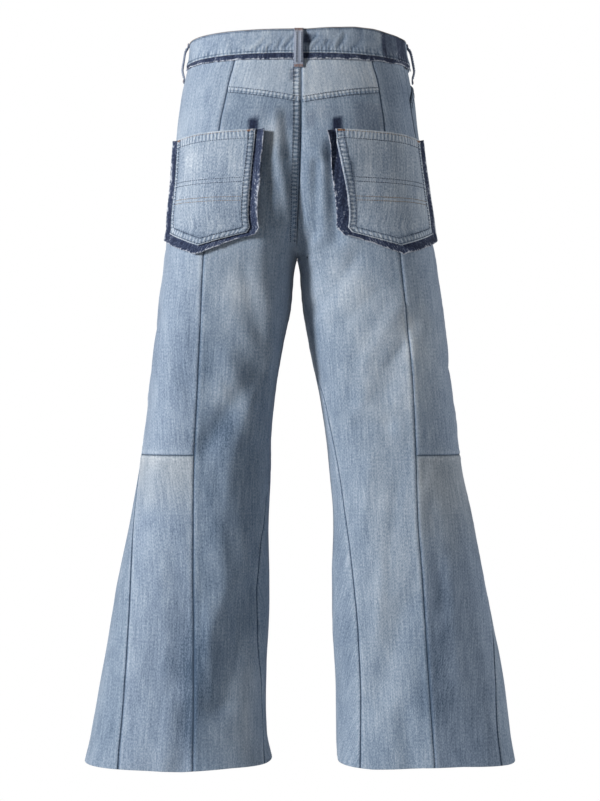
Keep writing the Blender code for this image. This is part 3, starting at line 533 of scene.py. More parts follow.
@dataclass(frozen=True)
class WashedDenim:
    """Cotton twill with an indigo warp, washed down: matt, mottled, with a fine diagonal weave."""

    name: str
    shade: Shade
    twill_mm: float = 2.0  # the real twill is 0.9 mm, drawn this coarse so that it shows
    fade_mm: float = 85.0  # broad uneven fading
    slub_mm: float = 2.6  # width of the warp's thick and thin streaks
    speck_mm: float = 1.7  # grain of the worn nap
    rope_mm: float = 5.4  # pitch of the pale and dark puckers between two rows of stitches
    contrast: float = 1.0
    base: float = 0.0  # how worn it is on top of what the piece says

    def material(self) -> bpy.types.Material:
        """The material.

        It reads the piece's UV map, in metres, and its attributes: tone, how worn it is, with painted light
        and shade added; line, how near a seam's shadow is; rope_u and rope_v, where puckers cross its width
        or height;
        raw, where it kept its indigo; and bleach, where it lost all colour.

        Returns:
            The new material.
        """
        made = bpy.data.materials.new(self.name)
        made.use_nodes = True
        tree = made.node_tree
        shader = tree.nodes["Principled BSDF"]
        shader.inputs["Roughness"].default_value = 0.92
        shader.inputs["Specular IOR Level"].default_value = 0.22
        shader.inputs["Sheen Weight"].default_value = 0.1
        shader.inputs["Sheen Roughness"].default_value = 0.5
        where = node(tree, "ShaderNodeTexCoord").outputs["Object"]
        flat = node(tree, "ShaderNodeUVMap", {"uv_map": "cut"}).outputs["UV"]

        def value(name: str) -> bpy.types.NodeSocket:
            """The value of one of the piece's attributes."""
            return node(tree, "ShaderNodeAttribute", {"attribute_name": name}).outputs["Fac"]

        def maths(operation: str, a: object, b: object = 0.0, clamp: bool = False) -> bpy.types.NodeSocket:
            """One step of arithmetic between sockets or numbers."""
            step = node(tree, "ShaderNodeMath", {"operation": operation, "use_clamp": clamp})
            for slot, term in enumerate((a, b)):
                if isinstance(term, bpy.types.NodeSocket):
                    tree.links.new(term, step.inputs[slot])
                else:
                    step.inputs[slot].default_value = term
            return step.outputs[0]

        def grain(source: bpy.types.NodeSocket, size_mm: tuple[float, float, float], detail: float,
                  weight: float) -> bpy.types.NodeSocket:
            """Noise about 0, stretched to a size in millimetres along each of its axes, and weighted."""
            scaled = node(tree, "ShaderNodeMapping", None, {"Vector": source},
                          {"Scale": [1000 / s for s in size_mm]})
            noise = node(tree, "ShaderNodeTexNoise", None, {"Vector": scaled.outputs[0]},
                         {"Scale": 1.0, "Detail": detail, "Roughness": 0.6}).outputs["Fac"]
            return maths("MULTIPLY", maths("SUBTRACT", noise, 0.5), weight)

        def bars(direction: str, pitch_mm: float, tilt: float, uneven: float) -> bpy.types.NodeSocket:
            """Uneven bars across the cloth, about 0: one unit of its coordinates is one pitch."""
            turned = node(tree, "ShaderNodeMapping", None, {"Vector": flat},
                          {"Rotation": (0, 0, math.radians(tilt)), "Scale": [1000 / pitch_mm] * 3})
            wave = node(tree, "ShaderNodeTexWave", {"wave_type": "BANDS", "bands_direction": direction},
                        {"Vector": turned.outputs[0]},
                        {"Scale": math.pi / 10, "Distortion": uneven, "Detail": 2.0, "Detail Scale": 1.2})
            return maths("SUBTRACT", wave.outputs["Fac"], 0.5)

        speck = grain(flat, (self.speck_mm, self.speck_mm * 1.8, 1), 3, 1.15 * self.contrast)
        terms = [grain(where, (self.fade_mm, self.fade_mm, self.fade_mm * 1.7), 3, 0.5),
                 grain(where, (22, 22, 40), 2, 0.34),
                 grain(flat, (self.slub_mm, 45, 1), 3, 0.7 * self.contrast), speck]
        # The value that picks the colour: the piece's wear together with its painted light and shade.
        wear_and_shade = maths("ADD", value("tone"), self.base)
        for term in terms:
            wear_and_shade = maths("ADD", wear_and_shade, term)
        rope = maths("ADD", maths("MULTIPLY", value("rope_u"), bars("X", self.rope_mm, 0, 3.2)),
                     maths("MULTIPLY", value("rope_v"), bars("Y", self.rope_mm, 0, 3.2)))
        wear_and_shade = maths("ADD", wear_and_shade, maths("MULTIPLY", rope, 0.5))
        wear_and_shade = maths("SUBTRACT", wear_and_shade, maths("MULTIPLY", value("line"), 0.62), clamp=True)

        def dyed(shade: Shade) -> bpy.types.NodeSocket:
            """One dye's colour, from its deepest to where it is worn through."""
            ramp = node(tree, "ShaderNodeValToRGB", None, {"Fac": wear_and_shade})
            stops = ramp.color_ramp.elements
            stops.new(0.4)
            stops.new(0.68)
            for stop, place, colour in zip(stops, (0.0, 0.4, 0.68, 1.0), shade.value):
                stop.position = place
                stop.color = linear(colour)
            return ramp.outputs["Color"]

        colour = dyed(self.shade)
        for name, other in (("raw", Shade.INDIGO), ("bleach", Shade.BLEACHED)):
            mixed = node(tree, "ShaderNodeMix", {"data_type": "RGBA"}, {"Factor": value(name)})
            tree.links.new(colour, mixed.inputs["A"])
            tree.links.new(dyed(other), mixed.inputs["B"])
            colour = mixed.outputs["Result"]
        tree.links.new(colour, shader.inputs["Base Color"])
        twill = bars("X", self.twill_mm, 28, 1.2)
        height = maths("ADD", maths("MULTIPLY", twill, 0.4), maths("MULTIPLY", speck, 0.6))
        height = maths("ADD", height, maths("MULTIPLY", rope, 1.1))
        bump = node(tree, "ShaderNodeBump", None, {"Height": height}, {"Strength": 0.5, "Distance": 0.0006})
        tree.links.new(bump.outputs["Normal"], shader.inputs["Normal"])
        return made


@dataclass(frozen=True)
class SewingThread:
    """Spun polyester-cotton sewing thread: matt, round, with the colour a little uneven along its length."""

    name: str
    colour: str
    faded: str

    def material(self) -> bpy.types.Material:
        """The material."""
        made = bpy.data.materials.new(self.name)
        made.use_nodes = True
        tree = made.node_tree
        shader = tree.nodes["Principled BSDF"]
        shader.inputs["Roughness"].default_value = 0.8
        shader.inputs["Specular IOR Level"].default_value = 0.3
        where = node(tree, "ShaderNodeTexCoord").outputs["Object"]
        patchy = node(tree, "ShaderNodeTexNoise", None, {"Vector": where},
                      {"Scale": 1000 / 14, "Detail": 2.0})
        twist = node(tree, "ShaderNodeTexNoise", None, {"Vector": where},
                     {"Scale": 1000 / 0.6, "Detail": 1.0})
        mixed = node(tree, "ShaderNodeMix", {"data_type": "RGBA"}, {"Factor": patchy.outputs["Fac"]})
        mixed.inputs["A"].default_value = linear(self.colour)
        mixed.inputs["B"].default_value = linear(self.faded)
        tree.links.new(mixed.outputs["Result"], shader.inputs["Base Color"])
        bump = node(tree, "ShaderNodeBump", None, {"Height": twist.outputs["Fac"]},
                    {"Strength": 0.3, "Distance": 0.0002})
        tree.links.new(bump.outputs["Normal"], shader.inputs["Normal"])
        return made


@dataclass(frozen=True)
class AntiqueBrass:
    """Stamped brass with a dark chemical finish, rubbed bright where hands touch it."""

    name: str = "antique_brass_shank"

    def material(self) -> bpy.types.Material:
        """The material."""
        made = bpy.data.materials.new(self.name)
        made.use_nodes = True
        tree = made.node_tree
        shader = tree.nodes["Principled BSDF"]
        shader.inputs["Metallic"].default_value = 1.0
        where = node(tree, "ShaderNodeTexCoord").outputs["Object"]
        rubbed = node(tree, "ShaderNodeTexNoise", None, {"Vector": where}, {"Scale": 1000 / 4, "Detail": 4.0})
        mixed = node(tree, "ShaderNodeMix", {"data_type": "RGBA"}, {"Factor": rubbed.outputs["Fac"]})
        mixed.inputs["A"].default_value = linear("#6b4a24")
        mixed.inputs["B"].default_value = linear("#c39a5c")
        tree.links.new(mixed.outputs["Result"], shader.inputs["Base Color"])
        rough = node(tree, "ShaderNodeMapRange", None, {"Value": rubbed.outputs["Fac"]},
                     {"To Min": 0.28, "To Max": 0.5})
        tree.links.new(rough.outputs["Result"], shader.inputs["Roughness"])
        return made


class Wardrobe:
    """Every material of the jeans, made once."""

    def __init__(self) -> None:
        """Makes the materials."""
        self.pale = WashedDenim("washed_denim_pale", Shade.PALE).material()
        self.middle = WashedDenim("washed_denim_middle", Shade.MIDDLE).material()
        self.pocket = WashedDenim("washed_denim_pocket", Shade.PALE, fade_mm=40, contrast=1.25).material()
        self.raw = WashedDenim("raw_indigo_denim", Shade.INDIGO, fade_mm=30, contrast=1.3).material()
        self.loop = WashedDenim("washed_denim_loop", Shade.LOOP, contrast=0.6).material()
        self.inside = WashedDenim("denim_wrong_side", Shade.INSIDE, contrast=0.5).material()
        self.shield = WashedDenim("denim_wrong_side_of_shield", Shade.INSIDE, contrast=0.5,
                                  base=0.5).material()
        self.navy = SewingThread("navy_topstitch_thread", "#1d2740", "#46536c").material()
        self.tan = SewingThread("tan_topstitch_thread", "#8d6b46", "#b09a7c").material()
        self.rust = SewingThread("rust_bartack_thread", "#8a5430", "#b07a4c").material()
        self.blue = SewingThread("blue_seam_thread", "#4d6079", "#7e90a8").material()
        self.fray = SewingThread("frayed_weft_thread", "#c9ced6", "#eceef1").material()
        self.hem_fray = SewingThread("frayed_hem_thread", "#8490a0", "#b5ab98").material()
        self.brass = AntiqueBrass().material()


# --- Making meshes --------------------------------------------------------------------------------


def new_object(name: str, mesh: bpy.types.Mesh, *looks: bpy.types.Material) -> bpy.types.Object:
    """Links a mesh into the scene as an object with its materials, shaded smooth."""
    for look in looks:
        mesh.materials.append(look)
    mesh.shade_smooth()
    obj = bpy.data.objects.new(name, mesh)
    bpy.context.scene.collection.objects.link(obj)
    return obj


def finer(count_at_edges: Sequence[float], width: float, step: float) -> Grid:
    """Shares across a width in metres: close together near both edges, and a step apart in between.

    Args:
        count_at_edges: distances from each edge, in millimetres.
        width: the width in metres.
        step: the spacing in the middle, in metres.

    Returns:
        Shares from 0 to 1.
    """
    edge = np.array([d * MM for d in count_at_edges if d * MM < width * 0.3])
    middle = max(int((width - 2 * edge[-1]) / step), 1)
    inner = np.linspace(edge[-1], width - edge[-1], middle + 1)
    return np.concatenate([edge[:-1], inner, width - edge[:-1][::-1]]) / width


EDGE_STEPS = (0, 1.2, 2.4, 4.0, 6.0, 8.5)


def grid_mesh(name: str, points: Grid, flat: Grid, attributes: dict[str, Grid], flip: bool) -> bpy.types.Mesh:
    """A mesh over a grid of points, with its UV map in metres and its attributes.

    Args:
        name: the mesh's name.
        points: rows by columns by 3.
        flat: rows by columns by 2, the place on the flat cut.
        attributes: rows by columns each.
        flip: turns the faces over.

    Returns:
        The mesh.
    """
    rows, columns = points.shape[:2]
    index = np.arange(rows * columns).reshape(rows, columns)
    quads = np.stack([index[:-1, :-1], index[:-1, 1:], index[1:, 1:], index[1:, :-1]], axis=-1).reshape(-1, 4)
    if flip:
        quads = quads[:, ::-1]
    mesh = bpy.data.meshes.new(name)
    mesh.from_pydata(points.reshape(-1, 3).tolist(), [], quads.tolist())
    layer = mesh.uv_layers.new(name="cut")
    layer.data.foreach_set("uv", flat.reshape(-1, 2)[quads.reshape(-1)].ravel())
    for key, values in attributes.items():
        spread = np.broadcast_to(values, points.shape[:2]).ravel().astype(np.float32)
        mesh.attributes.new(key, "FLOAT", "POINT").data.foreach_set("value", spread)
    mesh.update()
    return mesh


def thicken(obj: bpy.types.Object, thick: float) -> None:
    """Gives a skin its wall, inwards, with the second material on its inner side, and applies it."""
    wall = obj.modifiers.new("wall", "SOLIDIFY")
    wall.thickness = thick
    wall.offset = -1.0
    wall.use_rim = True
    wall.material_offset = 1
    bpy.ops.object.select_all(action="DESELECT")
    bpy.context.view_layer.objects.active = obj
    obj.select_set(True)
    bpy.ops.object.modifier_apply(modifier=wall.name)
    obj.select_set(False)


def lengths(points: Grid, axis: int) -> Grid:
    """Distances run along one axis of a grid of points, from 0."""
    steps = np.linalg.norm(np.diff(points, axis=axis), axis=-1)
    start = np.zeros_like(steps[:1] if axis == 0 else steps[:, :1])
    return np.concatenate([start, np.cumsum(steps, axis=axis)], axis=axis)


def settle(obj: bpy.types.Object, node_name: str, thick: float, cut: tuple[float, float]) -> bpy.types.Object:
    """Gives a cloth piece its wall, puts it in its solid's place and declares its cut.

    Args:
        obj: the piece's outer skin.
        node_name: the solid it stands for.
        thick: the cloth's thickness.
        cut: the flat cut's width and length.

    Returns:
        The piece.
    """
    thicken(obj, thick)
    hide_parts(node_name)
    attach(obj, "root")
    LOG.info("%s: cut %.0f x %.0f mm", obj.name, cut[0] / MM, cut[1] / MM)
    return obj


class Stitches:
    """Sewing on one piece, as one object: each stitch a short lozenge of thread that sinks at its ends."""

    def __init__(self, name: str) -> None:
        """Starts an empty set of stitches with its name."""
        self.name = name
        self.points: list[Grid] = []
        self.faces: list[Grid] = []
        self.count = 0

    def row(self, path: Grid, up: Grid, pitch: float = 3.3 * MM, thick: float = 0.85 * MM,
            gap: float = 0.22) -> None:
        """Sews a row of stitches.

        Args:
            path: points along the row.
            up: the cloth's outward normals there.
            pitch: from one stitch to the next.
            thick: the thread's thickness.
            gap: the share of the pitch that is left open.
        """
        run = np.concatenate([[0], np.cumsum(np.linalg.norm(np.diff(path, axis=0), axis=1))])
        total = max(int(run[-1] / pitch), 1)
        starts = (np.arange(total) + 0.5) * run[-1] / total
        half = run[-1] / total * (1 - gap) / 2

        def spot(distance: Grid, table: Grid) -> Grid:
            """A table's value at distances along the row."""
            return np.stack([np.interp(distance, run, table[:, k]) for k in range(3)], axis=-1)

        centre, normal = spot(starts, path), spot(starts, up)
        normal /= np.linalg.norm(normal, axis=1, keepdims=True)
        before, after = spot(starts - half, path), spot(starts + half, path)
        along = after - before
        along /= np.linalg.norm(along, axis=1, keepdims=True)
        side = np.cross(normal, along)
        r = thick / 2
        rings = [before - normal * r * 0.4]
        for share in (-0.62, 0.62):
            middle = centre + along * half * share
            for turn in range(4):
                a = turn * math.pi / 2 + math.pi / 4
                rings.append(middle + side * r * math.cos(a) * 1.1 + normal * (r * math.sin(a) + r * 0.25))
        rings.append(after - normal * r * 0.4)
        verts = np.stack(rings, axis=1)
        faces = [(0, 1 + (k + 1) % 4, 1 + k, 1 + k) for k in range(4)]
        faces += [(1 + k, 1 + (k + 1) % 4, 5 + (k + 1) % 4, 5 + k) for k in range(4)]
        faces += [(9, 5 + k, 5 + (k + 1) % 4, 5 + (k + 1) % 4) for k in range(4)]
        index = np.arange(total)[:, None, None] * 10 + np.array(faces)[None] + self.count
        self.points.append(verts.reshape(-1, 3))
        self.faces.append(index.reshape(-1, 4))
        self.count += total * 10

    def finish(self, look: bpy.types.Material, body: str = "root") -> bpy.types.Object:
        """Makes the object.

        Args:
            look: the thread's material.
            body: the body it rides on.

        Returns:
            The object.
        """
        mesh = bpy.data.meshes.new(self.name)
        faces = [tuple(dict.fromkeys(face)) for face in np.concatenate(self.faces).tolist()]
        mesh.from_pydata(np.concatenate(self.points).tolist(), [], faces)
        tidy = bmesh.new()
        tidy.from_mesh(mesh)
        bmesh.ops.recalc_face_normals(tidy, faces=tidy.faces)
        tidy.to_mesh(mesh)
        tidy.free()
        obj = new_object(self.name, mesh, look)
        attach(obj, body)
        LOG.info("%s: %d stitches", self.name, self.count // 10)
        return obj


class Fringe:
    """Frayed threads along one piece's raw edges, as one object: thin tapered three-sided strands."""

    def __init__(self, name: str, seed: int) -> None:
        """Starts an empty fringe.

        Args:
            name: the object's name.
            seed: what its unevenness starts from.
        """
        self.name = name
        self.rng = np.random.default_rng(seed)
        self.points: list[Grid] = []
        self.faces: list[Grid] = []
        self.count = 0

    def along(self, path: Grid, away: Grid, up: Grid, spacing: float, length: float,
              thick: float = 0.42 * MM) -> None:
        """Frays an edge.

        Args:
            path: points along the edge.
            away: the direction off the cloth at each point.
            up: the cloth's outward normals there.
            spacing: from one strand to the next.
            length: the strands' mean length.
            thick: a strand's thickness.
        """
        run = np.concatenate([[0], np.cumsum(np.linalg.norm(np.diff(path, axis=0), axis=1))])
        total = int(run[-1] / spacing)
        starts = np.sort(self.rng.uniform(0, run[-1], total))

        def spot(table: Grid) -> Grid:
            """A table's value at the strands' roots."""
            return np.stack([np.interp(starts, run, table[:, k]) for k in range(3)], axis=-1)

        root, out, normal = spot(path), spot(away), spot(up)
        out /= np.linalg.norm(out, axis=1, keepdims=True)
        side = np.cross(normal, out)
        reach = length * self.rng.gamma(5, 0.2, total)[:, None]
        lean, curl, lift = (self.rng.normal(0, s, total)[:, None] for s in (0.45, 0.5, 0.18))
        verts = []
        for share, size in ((-0.25, 1.0), (0.35, 0.9), (0.75, 0.7)):
            bend = lean * share + curl * share**2
            middle = root + reach * (out * share + side * bend + normal * (lift * share + 0.03))
            for turn in range(3):
                a = turn * 2 * math.pi / 3
                verts.append(middle + (side * math.cos(a) + normal * math.sin(a)) * thick / 2 * size)
        verts.append(root + reach * (out + side * (lean + curl) + normal * lift))
        block = np.stack(verts, axis=1)
        faces = [(r + k, r + (k + 1) % 3, r + 3 + (k + 1) % 3, r + 3 + k) for r in (0, 3) for k in range(3)]
        faces += [(6 + k, 6 + (k + 1) % 3, 9, 9) for k in range(3)] + [(0, 2, 1, 1)]
        index = np.arange(total)[:, None, None] * 10 + np.array(faces)[None] + self.count
        self.points.append(block.reshape(-1, 3))
        self.faces.append(index.reshape(-1, 4))
        self.count += total * 10

    finish = Stitches.finish


# --- The pieces -----------------------------------------------------------------------------------


@dataclass
class Panel:
    """A cut piece of the garment's shell: where it lies, and how it is dressed."""

    node: str
    half: Half
    start: Curve
    end: Curve
    bottom: Curve | None
    top: Curve
    slot: str
    look: bpy.types.Material
    inside: bpy.types.Material
    tone: float
    out: float = 0.0
    step: float = 4.0 * MM
    lines: tuple[float, float, float, float] = (1.5, 1.5, 0.0, 0.0)  # shadows at start, end, foot, head, mm
    roped: tuple[float, float] = (0.0, 0.0)  # how far puckers run up from foot and down from head, mm
    marks: Callable[[Grid, Grid, Grid, Grid], dict[str, Grid]] | None = None
    past_crotch: float = 0.0  # the share of its columns that pass the turn at the crotch smoothly

    def angles(self, share: Grid, z: Grid) -> Grid:
        """The angles of the piece's grid, whose inner columns don't follow the turn at the crotch."""
        first, last = self.start(z), self.end(z)
        if not self.past_crotch:
            return first + share * (last - first)
        high, low = (np.full(1, height) for height in (EASE_FROM, EASE_TO))
        share_up = ease((z - EASE_TO) / (EASE_FROM - EASE_TO))
        turned = self.end(low) + share_up * (self.end(high) - self.end(low))
        inner = np.where((z > EASE_TO) & (z < EASE_FROM), turned, last)
        eased = first + share * (inner - first)
        knee = first + self.past_crotch * (inner - first)
        rest = np.clip((share - self.past_crotch) / (1 - self.past_crotch), 0, 1)
        return np.where(share <= self.past_crotch, eased, knee + rest * (last - knee))

    def build(self) -> bpy.types.Object:
        probe = np.linspace(0, 1, 25)
        middle = (HEM + BAND_BOTTOM) / 2
        if self.bottom is not None:
            middle = float(np.mean(self.bottom(probe) + self.top(probe)) / 2)
        z = np.full(25, middle)
        angle = self.start(z) + probe * (self.end(z) - self.start(z))
        width = lengths(self.half.plain(angle, z)[None], 1)[0, -1]
        share = finer(EDGE_STEPS, width, self.step)
        top = self.top(share)
        if self.bottom is None:
            low = np.full(share.shape, HEM)
            bottom = self.half.hem(self.start(low) + share * (self.end(low) - self.start(low)))
        else:
            bottom = self.bottom(share)
        level = finer(EDGE_STEPS, float(np.mean(top - bottom)), self.step * 1.15)[:, None]
        z = bottom + level * (top - bottom)
        angle = self.angles(share, z)
        points, normal, move = self.half.relief(angle, z)
        run, rise = lengths(points, 1) / MM, lengths(points, 0) / MM
        edges = (run, run[:, -1:] - run, rise, rise[-1:] - rise)
        # Each seam is felled: the cloth is thicker beside it, dips into it, and is drawn into small puckers.
        sewn = [edge if width > 0 else 99 + 0 * edge for edge, width in zip(edges, self.lines)]
        near = np.minimum.reduce(sewn)
        ridge = np.exp(-(((near - 4.5) / 3.0) ** 2))
        pucker = soft_noise(points, 6.5 * MM, 7) * np.exp(-(((near - 5) / 6.0) ** 2))
        lift = move + (0.5 * ridge + 0.35 * pucker - 0.7 * np.exp(-((near / 1.4) ** 2))) * MM + self.out
        points = points + normal * lift[..., None]
        points[..., 0] = self.half.seam(z) + self.half.sign * points[..., 0]
        if self.past_crotch:  # the halves meet at the seat's seam
            apart = self.half.seam(z[:, -1:]) + self.half.sign * SEAM_GAP / 2 - points[:, -1:, 0]
            points[..., 0] += apart * np.exp(-((edges[1] / 6) ** 2)) * (z > CROTCH + 1 * MM)
        line = np.maximum.reduce([
            np.clip((1 + 0.15 * width) * (1 - edge / width), 0, 1) if width > 0 else 0 * edge
            for edge, width in zip(edges, self.lines)])
        rope = sum((ease((far - edge) / 1.0) if far > 0 else 0 * edge)
                   for edge, far in zip(edges[2:], self.roped))
        attributes = {"tone": self.tone + 0 * z, "line": line, "rope_u": rope, "rope_v": 0 * z, "raw": 0 * z,
                      "bleach": 0 * z}
        # Raised folds and the ridges beside seams are painted paler and hollows darker: partly wear, partly
        # painted light and shade.
        attributes["tone"] += np.clip(move / MM, -6, 6) * 0.012 + 0.1 * ridge
        # Soft clouds of painted light and shade, paler or darker, on the back only.
        on_back = ease((points[..., 1] + 12 * MM) / (24 * MM))
        for painted_cloud in rows_of(PAINTED_LIGHT_AND_SHADE, PAINTED_LIGHT_AND_SHADE_COLUMNS):
            across = (points[..., 0] / MM - painted_cloud["x"]) / painted_cloud["wide"]
            up = (z / MM - painted_cloud["z"]) / painted_cloud["tall"]
            attributes["tone"] += painted_cloud["paler"] * np.exp(-(across**2 + up**2)) * on_back
        if self.marks is not None:
            for key, extra in self.marks(points, share + 0 * z, z, edges[1]).items():
                attributes[key] = attributes[key] + extra
        direction = 1 if float(np.mean(angle[:, -1] - angle[:, 0])) > 0 else -1
        mesh = grid_mesh(self.node, points, np.stack([run * MM, z], axis=-1), attributes,
                         self.half.sign * direction < 0)
        obj = new_object("cloth_" + self.node, mesh, self.look, self.inside)
        cut = (float(run[:, -1].max()) * MM, float(rise[-1].max()) * MM)
        return settle(obj, self.node, DENIM, cut)


def patch(points: Grid, x: float, z: float, wide: float, tall: float, soft: float = 4.0) -> Grid:
    """1 inside a rectangle round (x, z), fading to 0 outside, with all sizes in millimetres.

    Args:
        points: places in the garment's frame.
        x: the middle's distance from the centre.
        z: the middle's height.
        wide: half the width.
        tall: half the height.
        soft: how far the edge fades.

    Returns:
        The share at each point.
    """
    across = ease((wide + soft - np.abs(np.abs(points[..., 0]) / MM - x)) / soft)
    return across * ease((tall + soft - np.abs(points[..., 2] / MM - z)) / soft)


@dataclass
class Shell:
    """The legs, seat and yokes: every panel of both halves, with its seams' sewing and its raw hems."""

    wardrobe: Wardrobe
    pale_tone: float = 0.52
    middle_tone: float = 0.5
    yoke_rows: tuple[float, float] = (3.6 * MM, -3.4 * MM)  # above the yoke's seam
    centre_rows: tuple[float, float] = (3.7 * MM, 10.9 * MM)  # from the centre seam, on the wearer's left
    centre_rows_end: float = -262 * MM

    def build(self) -> None:
        """Builds each half."""
        for half in HALVES:
            self.seat_and_back(half)
            self.sides(half)
            self.front(half)
            self.sewing(half)
            self.hem(half)

    def yoke_seam(self, share: Grid) -> Grid:
        """The yoke's lower edge, from the princess seam to the centre seam."""
        return YOKE_AT_PRINCESS + (YOKE_AT_SEAM - YOKE_AT_PRINCESS) * share

    def centre_marks(self, half: Half, z: Grid, from_seam: Grid) -> Grid:
        """Where the centre seam's felled edge is drawn up between its two rows."""
        if half.sign < 0:
            return 0 * z
        low, high = (row / MM for row in self.centre_rows)
        between = ease(from_seam - low + 0.8) * ease(high + 0.8 - from_seam)
        return between * (z > self.centre_rows_end)

    def seat_and_back(self, half: Half) -> None:
        """The yoke and the long back panel."""
        w, gap, name = self.wardrobe, SEAM_GAP / 2, half.name
        inner: Curve = lambda z: half.princess(z, 1)
        left = half.sign > 0

        def yoke_marks(points: Grid, share: Grid, z: Grid, from_seam: Grid) -> dict[str, Grid]:
            """Unworn dye beside the belt loop's foot, and the centre seam's puckers."""
            raw = patch(points, 9, -38, 3, 7) * (0.55 if left else 0.0)
            return {"rope_v": self.centre_marks(half, z, from_seam), "raw": raw}

        def seat_marks(points: Grid, share: Grid, z: Grid, from_seam: Grid) -> dict[str, Grid]:
            """The old pocket's dark spot, dye kept unevenly in the seat, and darker patches near the seat
            seam.
            """
            spot = patch(points, 63 if left else 50, -108, 4.5, 8.5, 4.5)
            kept = 0.0 if left else 0.28 * patch(points, 96, -96, 16, 14, 12)
            # Darker patches near the seat seam, one just under the yoke.
            beside = 0.3 * patch(points, 14, -100, 3, 8, 5) + 0.12 * patch(points, 36, -92, 14, 5, 8)
            raw = np.clip(spot + kept + beside, 0, 1)
            tone = 0.05 * kept - 0.22 * spot
            return {"rope_v": self.centre_marks(half, z, from_seam), "raw": raw, "tone": tone}

        # The yokes are a paler tone; on the right yoke 0.1 more of it is painted light.
        Panel("yoke_" + name, half, inner, half.seat_edge, lambda s: self.yoke_seam(s) + gap,
              lambda s: BAND_BOTTOM - gap + 0 * s, "yoke_denim", w.pale, w.inside,
              self.pale_tone + (0.17 if left else 0.27), step=2.5 * MM,
              roped=(3.6, 0.0), marks=yoke_marks).build()
        Panel("back_leg_" + name, half, inner, half.seat_edge, None, lambda s: self.yoke_seam(s) - gap,
              "back_denim", w.middle, w.inside, self.middle_tone, roped=(0.0, 3.4), marks=seat_marks,
              past_crotch=0.66).build()

    def sides(self, half: Half) -> None:
        """The two side back panels, above and below the knee seam."""
        w, gap, name = self.wardrobe, SEAM_GAP / 2, half.name
        side: Curve = lambda z: half.side_seam(z, 1)
        princess: Curve = lambda z: half.princess(z, -1)
        # The right side panels are painted darker, which is painted shade, and their side seam's painted
        # shadow is wider.
        painted_shade, at_side = (0.0, 4.0) if half.sign > 0 else (0.08, 5.5)
        Panel("side_upper_" + name, half, side, princess, lambda s: KNEE_SEAM + gap + 0 * s,
              lambda s: BAND_BOTTOM - gap + 0 * s, "side_denim", w.pale, w.inside,
              self.pale_tone - painted_shade, lines=(at_side, 1.5, 1.5, 0.0)).build()
        reach = 110 * MM if half.sign > 0 else 190 * MM

        def bleached(points: Grid, share: Grid, z: Grid, from_seam: Grid) -> dict[str, Grid]:
            """Bleached nearly grey just under the knee seam, fading out down the leg in uneven clouds."""
            cloud = soft_noise(points, 34 * MM, 81) * 0.18
            share_left = ease((z - (KNEE_SEAM - reach)) / reach + cloud)
            return {"bleach": 0.85 * share_left, "tone": 0.16 * share_left - 0.03}

        Panel("side_lower_" + name, half, side, princess, None, lambda s: KNEE_SEAM - gap + 0 * s,
              "knee_denim", w.pale, w.inside, self.pale_tone - 0.02 - 1.5 * painted_shade,
              lines=(3.0, 1.5, 0.0, 1.5), marks=bleached).build()

    def scoop(self, half: Half, share: Grid) -> Grid:
        """The front panel's top edge, from the side seam to the fly, where the pocket's mouth dips."""
        top = np.full(share.shape, BAND_BOTTOM - SEAM_GAP / 2)
        side, fly = half.side_seam(top, -1), half.fly_edge(top)
        angle = side + share * (fly - side)
        start = half.angle_at(SCOOP_START, top, back=False)
        dip = np.clip((angle - start) / (side - start), 0, 1)
        return top - SCOOP_DEEP * (1 - np.sqrt(1 - dip**1.7))

    def front(self, half: Half) -> None:
        """The front of the leg and the facing in the pocket's mouth."""
        w, name = self.wardrobe, half.name
        side: Curve = lambda z: half.side_seam(z, -1)

        def thighs(points: Grid, share: Grid, z: Grid, from_seam: Grid) -> dict[str, Grid]:
            """The wash is worn palest down the middle of the thigh and knee."""
            middle = np.exp(-(((share - 0.42) / 0.22) ** 2))
            return {"tone": 0.14 * middle * np.exp(-(((z + 400 * MM) / (190 * MM)) ** 2)) - 0.03}

        Panel("front_leg_" + name, half, side, half.fly_edge, None, lambda s: self.scoop(half, s),
              "front_denim", w.middle, w.inside, self.middle_tone, lines=(1.5, 1.5, 0.0, 1.0), marks=thighs,
              past_crotch=0.66).build()
        top = BAND_BOTTOM - SEAM_GAP / 2
        start = half.angle_at(SCOOP_START - FACING_UNDER, BAND_BOTTOM, back=False)
        Panel("pocket_facing_" + name, half, lambda z: start + 0 * z, side,
              lambda s: BAND_BOTTOM - SCOOP_DEEP - FACING_UNDER + 0 * s, lambda s: top + 0 * s,
              "facing_denim", w.middle, w.inside, self.middle_tone - 0.06, out=-(DENIM + LAY_GAP)).build()

    def sewing(self, half: Half) -> None:
        """Topstitching on the shell: the yoke, the seat seam, the fly and the pockets' mouths."""
        w = self.wardrobe
        sewn = Stitches("seam_stitches_" + half.name)

        def sew(angle: Grid, z: Grid, out: float = 0.55 * MM) -> None:
            """One row over the shell."""
            path = half.at(angle, z, out)
            sewn.row(path, half.at(angle, z, out + MM) - path)

